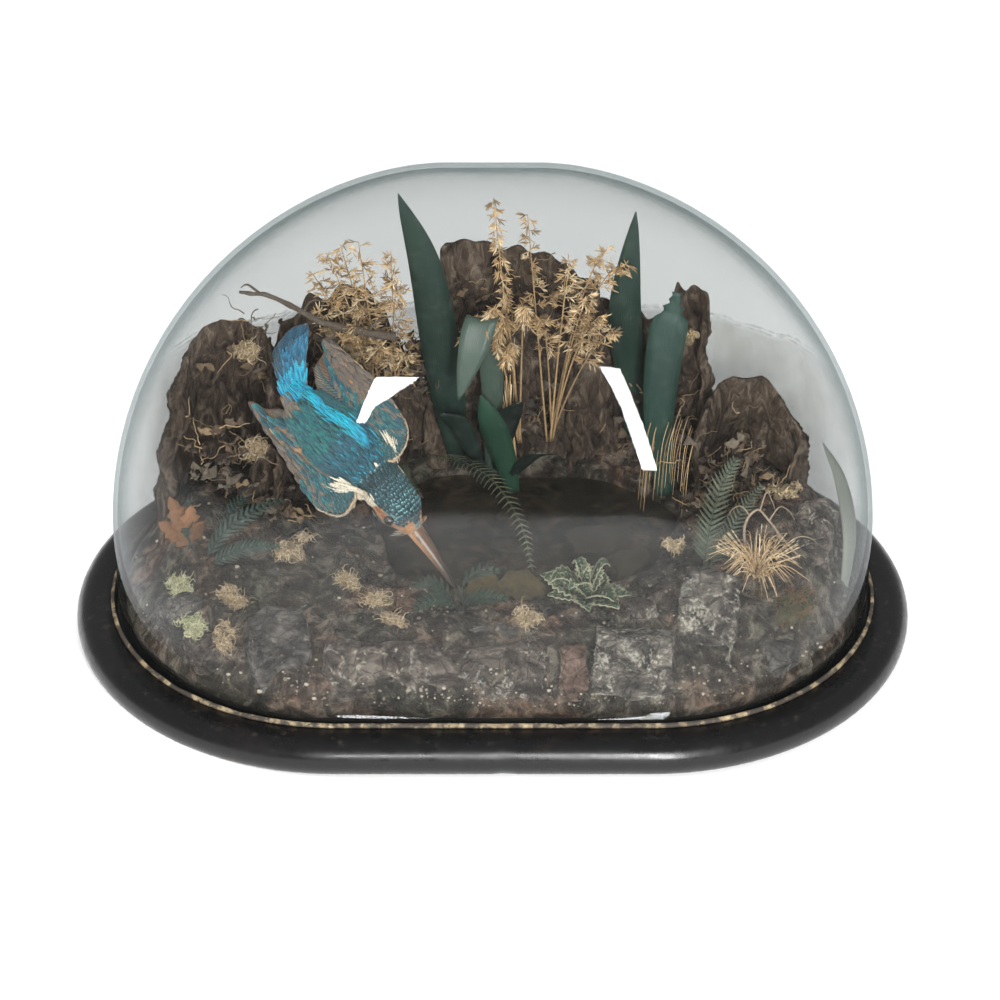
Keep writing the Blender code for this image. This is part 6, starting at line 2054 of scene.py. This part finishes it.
        unwrap = np.array([(place[0] + 0.0015 * x, place[1] + 0.0015 * (2.0 * (i // 5) / (count - 1) - 1.0))
                           for i, (x, _, _) in enumerate(lies)])
        mesh.add(np.concatenate([top, low]), faces, np.array(tones + under), np.array(lies + lies),
                 np.concatenate([unwrap, unwrap]))

    def wing_feathers(self, wing: Wing, seed: int) -> None:
        """Flight feathers, then rows of coverts above and below."""
        mesh = Mesh()
        dice = random.Random(seed)
        plan = []
        for k in range(11):
            share = k / 10.0
            plan.append(((0.34 + 0.16 * share, 0.10 + 0.5 * share), (1.0 - 0.10 * share, 0.10 + 0.86 * share), 2.6,
                         QUILL, (0.10, 0.085, 0.070)))
        for k in range(11):
            share = k / 10.0
            plan.append(((0.40 - 0.30 * share, 0.42 + 0.1 * share), (0.88 - 0.60 * share, 1.0), 3.0,
                         SMOKE, (0.030, 0.085, 0.095)))
        for number, (start, end, half, inner, outer) in enumerate(plan):
            path = []
            for i in range(15):
                share = i / 14
                along = start[0] + (end[0] - start[0]) * share
                u = start[1] + (end[1] - start[1]) * share ** 1.25
                over = 0.35 - 0.05 * number * (1.0 if number < 11 else 0.4)
                path.append(wing.surface(min(along, 0.995), min(u, 1.0)) + wing.up(min(along, 0.98)) * over)
            end_way = (path[-1] - path[-2]).normalized()
            path.append(path[-1] + end_way * (1.6 if number < 11 else 2.2))
            flip = 1.0 if wing.name == "right" else -1.0
            self.quill(mesh, path, wing.up(0.5 * (start[0] + end[0])), half, 0.35 * flip,
                       shade_of(inner if flip > 0 else outer, dice), shade_of(outer if flip > 0 else inner, dice),
                       (start[1] * 0.5, start[0]), [], 0.2 if number < 11 else 0.7)
        mesh.piece(f"quills_wing_{wing.name}", Plumage("plumage_quill", 26.0, 0.1, 0.55), "plumage")
        coat = Coat(seed + 1)
        self.coats.append(coat)
        for side in (1.0, -1.0):
            along, row = 0.93 if side > 0.0 else 0.80, 0
            while along > 0.0:
                chord = (curve_point(wing.trailing, along) - curve_point(wing.leading, along)).length
                size = 3.0 + 5.6 * max(0.0, along - 0.26) / 0.7
                gap = 0.42 * size
                count = max(3, int(chord / (gap * 1.05)))
                for k in range(count):
                    u = min(0.97, max(0.02, (k + 0.5 * (row % 2) + 0.25 + coat.dice.uniform(-0.2, 0.2)) / count))
                    if u > (1.12 - 0.42 * along if side > 0.0 else 0.70):
                        continue
                    here = along + coat.dice.gauss(0.0, 0.008)
                    up = wing.up(max(0.0, here)) * side
                    root = wing.surface(max(0.0, here), u) + up * (wing.thick(max(0.0, here), u) + 0.05)
                    way = wing.way(max(0.0, here), u)
                    way = (way - up * way.dot(up)).normalized()
                    base, tip, fade = self.covert(along, u, side, wing.brown, coat.dice)
                    coat.feather(root, way, up, size, max(1.3, 0.40 * size), base, tip,
                                 (0.25 + side * (0.02 + 0.22 * u), along), 0.13, fade)
                along -= gap / 74.0
                row += 1
        self.rim(wing, coat)
        coat.build(f"coat_wing_{wing.name}", Plumage("plumage_wing", 20.0, 0.25, 0.5))

    def covert(self, along: float, u: float, side: float, brown: float, dice: random.Random) -> tuple:
        """The colours of a wing covert.

        Args:
            along: place along the wing.
            u: place across it, from its leading side.
            side: 1 above and -1 below.
            brown: how far across its outer part is brown.
            dice: its chance.

        Returns:
            Base colour, tip colour, and the fade between them.
        """
        if side < 0.0:
            return RUFOUS, (0.55, 0.30, 0.15), FADE_EVEN
        if along > 0.62 and u < brown:
            return QUILL, (0.10, 0.10, 0.092), FADE_EVEN
        if along < 0.34:
            spot = dice.random() < 0.40
            return (0.006, 0.055, 0.065), (CROWN_BAR if spot else TEAL_LIGHT), FADE_BAR
        roll = dice.random()
        if roll < 0.16:
            return SMOKE, TEAL, FADE_LATE
        if roll < 0.30:
            return SMOKE, (0.10, 0.12, 0.11), FADE_EVEN
        return (TEAL, TEAL_LIGHT, FADE_LATE) if roll < 0.66 else (DEEP, TEAL, FADE_LATE)

    def rim(self, wing: Wing, coat: Coat) -> None:
        """The cream feathers that edge the wing's leading side."""
        for k in range(190):
            along = 0.06 + 0.90 * k / 190.0 + coat.dice.gauss(0.0, 0.004)
            up = wing.up(along)
            front = curve_point(wing.leading, along)
            ahead = (curve_point(wing.leading, min(1.0, along + 0.03)) - curve_point(wing.leading, along - 0.03))
            out = (front - wing.surface(along, 0.3)).normalized()
            fat = 1.0 if along < 0.45 else 0.55
            tone = CREAM if coat.dice.random() < 0.6 else TAN
            root = front - out * 0.7 + up * coat.dice.uniform(-1.0, 1.2) * fat
            coat.feather(root, ahead.normalized(), (out + up * 0.5).normalized(), 3.4 * fat + 1.0, 1.5 * fat,
                         tone, TAN, (0.25, along), 0.10, FADE_EVEN)

    def tail(self) -> None:
        """The tail's twelve feathers, and the azure coverts over them."""
        _, _, left, back, _, _ = self.form.frame(0.0)
        mesh = Mesh()
        dice = random.Random(91)
        for k in range(12):
            spread = (k - 5.5) / 5.5
            path = []
            for i in range(14):
                share = i / 13
                point = curve_point(self.tail_line, 0.05 + share * (0.97 - 0.10 * abs(spread)))
                path.append(point + left * spread * (3.2 + 6.6 * share) - back * (0.9 * spread ** 2 + 0.1 * abs(k - 5.5)))
            outermost = abs(spread) > 0.85
            outer = (0.24, 0.22, 0.18) if outermost else SLATE
            first, second = (outer, SLATE) if spread < 0.0 else (SLATE, outer)
            self.quill(mesh, path, back, 2.5, 0.0, shade_of(first, dice, 0.5), shade_of(second, dice, 0.5),
                       (0.5 + 0.1 * spread, 0.0), [], 0.9)
        mesh.piece("quills_tail", Plumage("plumage_tail", 24.0, 0.2, 0.5), "plumage")
        coat = Coat(93)
        self.coats.append(coat)
        for _ in range(330):
            share = coat.dice.random() ** 1.15
            across = coat.dice.uniform(-1.0, 1.0)
            point = curve_point(self.tail_line, 0.66 * share)
            ahead = (curve_point(self.tail_line, 0.66 * share + 0.05)
                     - curve_point(self.tail_line, max(0.0, 0.66 * share - 0.05))).normalized()
            root = point + left * across * (6.0 + 4.0 * share) + back * (1.9 - 1.4 * share - 0.9 * across * across)
            way = (ahead + left * across * 0.22).normalized()
            if across < -0.62 and share > 0.34:
                base, tip = SLATE, DEEP
            elif share < 0.38:
                base, tip = (AZURE, CYAN) if coat.dice.random() < 0.8 else (DEEP, AZURE)
            else:
                base, tip = (DEEP, AZURE) if coat.dice.random() < 0.45 else (SLATE, (0.004, 0.10, 0.19))
            coat.feather(root, way, back, coat.dice.uniform(6.0, 10.0) * (1.0 - 0.25 * share),
                         coat.dice.uniform(1.0, 1.7), base, tip, (0.5 + 0.2 * across, share), 0.12, FADE_EVEN)
        for _ in range(170):
            share, across = coat.dice.random(), coat.dice.uniform(-1.0, 1.0)
            point = curve_point(self.tail_line, 0.45 * share)
            ahead = (curve_point(self.tail_line, 0.45 * share + 0.05) - point).normalized()
            root = point + left * across * 6.5 - back * (2.2 - 1.2 * share)
            coat.feather(root, ahead, -back, 6.5, 2.2, RUFOUS, (0.55, 0.27, 0.10), (0.5 + 0.2 * across, 0.9), 0.14)
        coat.build("coat_tail", Plumage("plumage_covert", 16.0, 0.3, 0.45))

    def bill(self) -> None:
        """Both halves of the bill, with a ridge, cutting edges and nostrils."""
        face, forward, left, back, _, _ = self.form.frame(1.0)
        tip = Vector((-18.5, -30.5, 38.2))
        start = face + forward * 1.4
        for name, sign in (("upper", 1.0), ("lower", -1.0)):
            rows, tones = [], []
            for i in range(31):
                along = i / 30
                centre = start.lerp(tip, along if sign > 0 else along * 0.965) + back * 1.2 * math.sin(math.pi * along)
                shrink = (1.0 - along) ** 0.75 * 0.93 + 0.05
                half, deep = 4.7 * shrink, 5.4 * shrink * (0.62 if sign > 0 else 0.45)
                for k in range(13):
                    angle = math.pi * k / 12
                    peak = math.sin(angle) ** (1.25 if sign > 0 else 0.9)
                    rows.append(tuple(centre + left * half * math.cos(angle) * (1.0 - 0.12 * math.sin(angle))
                                      + back * (sign * (deep * peak) + sign * 0.15)))
                    warm = max(0.0, 1.0 - along * 1.5) * (0.9 - 0.75 * peak if sign > 0 else 0.9)
                    dark = np.array((0.030, 0.020, 0.014)) if sign > 0 else np.array((0.085, 0.045, 0.024))
                    tone = dark * (1.0 - warm) + np.array((0.50, 0.23, 0.085)) * warm
                    edge = 0.5 * abs(math.cos(angle)) ** 6
                    tone = tone * (1.0 - edge) + np.array((0.42, 0.27, 0.15)) * edge * (1.0 - 0.6 * along)
                    if sign > 0 and abs(along - 0.13) < 0.05 and k in (3, 9):
                        tone = np.array((0.004, 0.003, 0.003))
                    tones.append(tone)
            mesh = Mesh()
            mesh.grid(np.array(rows).reshape(31, 13, 3), wrap=True, tone=np.array(tones), start_cap=True, end_cap=True)
            mesh.piece(f"bill_{name}_horn", Horn(), "bill_horn", [f"bill_{name}"], sharp=60.0)

    def eyes(self) -> None:
        """The glass eyes, each in a thin pale lid."""
        for name, side in (("left", 1.0), ("right", -1.0)):
            centre = self.form.eye(side)
            out = (centre - self.form.frame(0.85)[0]).normalized()
            ball = bmesh.new()
            bmesh.ops.create_uvsphere(ball, u_segments=32, v_segments=20, radius=2.4)
            points = np.array([tuple(v.co + centre) for v in ball.verts])
            faces = [tuple(v.index for v in f.verts) for f in ball.faces]
            ball.free()
            mesh = Mesh()
            mesh.add(points, faces)
            mesh.piece(f"eye_{name}_glass", EyeGlass(), "eye_glass", [f"eye_{name}"])
            lid = Mesh()
            across = out.orthogonal().normalized()
            other = out.cross(across)
            ring = []
            for i in range(33):
                turn = 2.0 * math.pi * i / 32
                ring.append([tuple(centre + out * (1.0 + 0.42 * math.sin(k))
                                   + (across * math.cos(turn) + other * math.sin(turn)) * (2.22 + 0.42 * math.cos(k)))
                             for k in (0.0, 1.26, 2.51, 3.77, 5.03)])
            lid.grid(np.array(ring[:-1] + ring[:1]), wrap=True, tone=(0.045, 0.030, 0.022))
            lid.piece(f"eyelid_{name}", Horn("lid_skin", 0.6), "leg_skin")

    def feet(self) -> None:
        """Small coral feet, folded against the belly, with dark claws."""
        _, forward, left, back, _, depth = self.form.frame(0.30)
        centre = self.form.frame(0.30)[0]
        for name, side in (("left", 1.0), ("right", -1.0)):
            mesh = Mesh()
            root = centre + left * side * 6.0 - back * (1.06 * depth + 1.9)
            coral, claw = (0.42, 0.085, 0.035), (0.02, 0.014, 0.012)
            mesh.tube([root + back * 2.6 + forward * 2.0, root + back * 0.6, root], [1.5, 1.35, 1.3], 10, coral)
            toes = [forward * -13.0 + left * spread * 9.0 - back * 3.2 for spread in (-0.36, 0.0, 0.36)]
            toes.append(forward * 7.0 - back * 1.0)
            for toe in toes:
                path, radii, tones = [], [], []
                for i in range(19):
                    share = i / 18
                    path.append(root + toe * share + back * (1.2 * math.sin(math.pi * share)))
                    pad = 0.12 * abs(math.sin(share * 12.0))
                    radii.append((1.05 - 0.35 * share + pad) if share < 0.8 else 0.62 * (1.03 - share) / 0.23)
                    tones.append(coral if share < 0.8 else claw)
                mesh.tube(path, radii, 8, tones)
            mesh.piece(f"foot_{name}", Horn("foot_skin", 0.5), "leg_skin", [f"leg_{name}"])

    def build(self) -> None:
        """Build the bird; the coats come first, because the skin takes their colours."""
        self.body_coat()
        for number, wing in enumerate(self.wings):
            self.wing_feathers(wing, 81 + 10 * number)
        self.tail()
        self.skin()
        self.bill()
        self.eyes()
        self.feet()


# ---------------------------------------------------------------- studio

@dataclass
class Studio:
    """Floor, soft lights and camera."""

    focal: float = 113.5
    elevation: float = 32.8
    distance: float = 1.55
    sky_light: float = 0.42

    def floor(self) -> None:
        """A wide pale floor under the plinth."""
        mesh = bpy.data.meshes.new("floor")
        mesh.from_pydata([(-6, -6, -0.0003), (6, -6, -0.0003), (6, 6, -0.0003), (-6, 6, -0.0003)], [], [(0, 1, 2, 3)])
        mesh.materials.append(FloorPaper().make())
        floor = bpy.data.objects.new("floor", mesh)
        bpy.context.scene.collection.objects.link(floor)

    def lamp(self, name: str, place: Point, aim: Point, size: tuple[float, float], power: float,
             roll: float = 0.0, mirrored: bool = False) -> None:
        """A soft box that points at a place.

        Args:
            name: of the lamp.
            place: where it stands, in metres.
            aim: what it points at.
            size: of its face.
            power: in watts.
            roll: turn about its own axis, in degrees.
            mirrored: whether the dome shows its reflection.
        """
        data = bpy.data.lights.new(name, "AREA")
        data.shape = "RECTANGLE"
        data.size, data.size_y = size
        data.energy = power
        lamp = bpy.data.objects.new(name, data)
        lamp.location = place
        turn = (Vector(aim) - Vector(place)).to_track_quat("-Z", "Y").to_matrix()
        lamp.rotation_euler = (turn @ Matrix.Rotation(math.radians(roll), 3, "Z")).to_euler()
        lamp.visible_glossy = mirrored
        bpy.context.scene.collection.objects.link(lamp)

    def sky(self) -> None:
        """An even world: white behind the case, softer where it lights it."""
        world = bpy.data.worlds.new("studio")
        world.use_nodes = True
        tree = world.node_tree
        paths = tree.nodes.new("ShaderNodeLightPath")
        level = tree.nodes.new("ShaderNodeMapRange")
        level.inputs[3].default_value = self.sky_light
        level.inputs[4].default_value = 1.0
        tree.links.new(paths.outputs["Is Camera Ray"], level.inputs[0])
        background = tree.nodes["Background"]
        background.inputs[0].default_value = (1.0, 1.0, 1.0, 1.0)
        tree.links.new(level.outputs[0], background.inputs[1])
        bpy.context.scene.world = world

    def build(self) -> None:
        """Set the stage."""
        bpy.context.scene.view_settings.view_transform = "Standard"
        self.floor()
        self.sky()
        self.lamp("box_left", (-0.122, -1.28, 0.67), (-0.051, -0.085, 0.182), (0.066, 0.31), 5.0, -10.0, True)
        self.lamp("box_right", (0.222, -1.20, 0.56), (0.065, -0.088, 0.174), (0.165, 0.62), 23.0, 7.0, True)
        self.lamp("side_left", (-1.4, -0.7, 1.2), (0.0, 0.0, 0.08), (0.6, 0.6), 24.0)
        self.lamp("side_right", (1.5, -0.3, 1.3), (0.0, 0.0, 0.08), (0.9, 0.9), 8.0)
        self.lamp("box_top", (0.0, 0.4, 1.9), (0.0, 0.0, 0.0), (1.6, 1.2), 16.0)
        e = math.radians(self.elevation)
        target = Vector((0.0, 0.0, 0.1))
        back = Vector((0.0, -math.cos(e), math.sin(e)))
        data = bpy.data.cameras.new("camera")
        data.lens = self.focal
        data.sensor_width = 36.0
        data.shift_x, data.shift_y = 0.0075, -0.05
        data.clip_end = 30.0
        camera = bpy.data.objects.new("camera", data)
        camera.location = target + back * self.distance
        camera.rotation_euler = (-back).to_track_quat("-Z", "Y").to_euler()
        bpy.context.scene.collection.objects.link(camera)
        bpy.context.scene.camera = camera


def write_size() -> None:
    """Bring the scene's objects up to date."""
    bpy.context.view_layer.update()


def main() -> None:
    """Build everything in order."""
    logging.basicConfig(level=logging.INFO, format="%(name)s %(message)s")
    case = Case()
    case.build()
    ground = Groundwork(case)
    ground.build()
    BarkWork().build()
    Cushions(ground).build()
    Foliage().build()
    Grasses().build()
    Kingfisher().build()
    Studio().build()
    write_size()


if __name__ == "__main__":
    main()
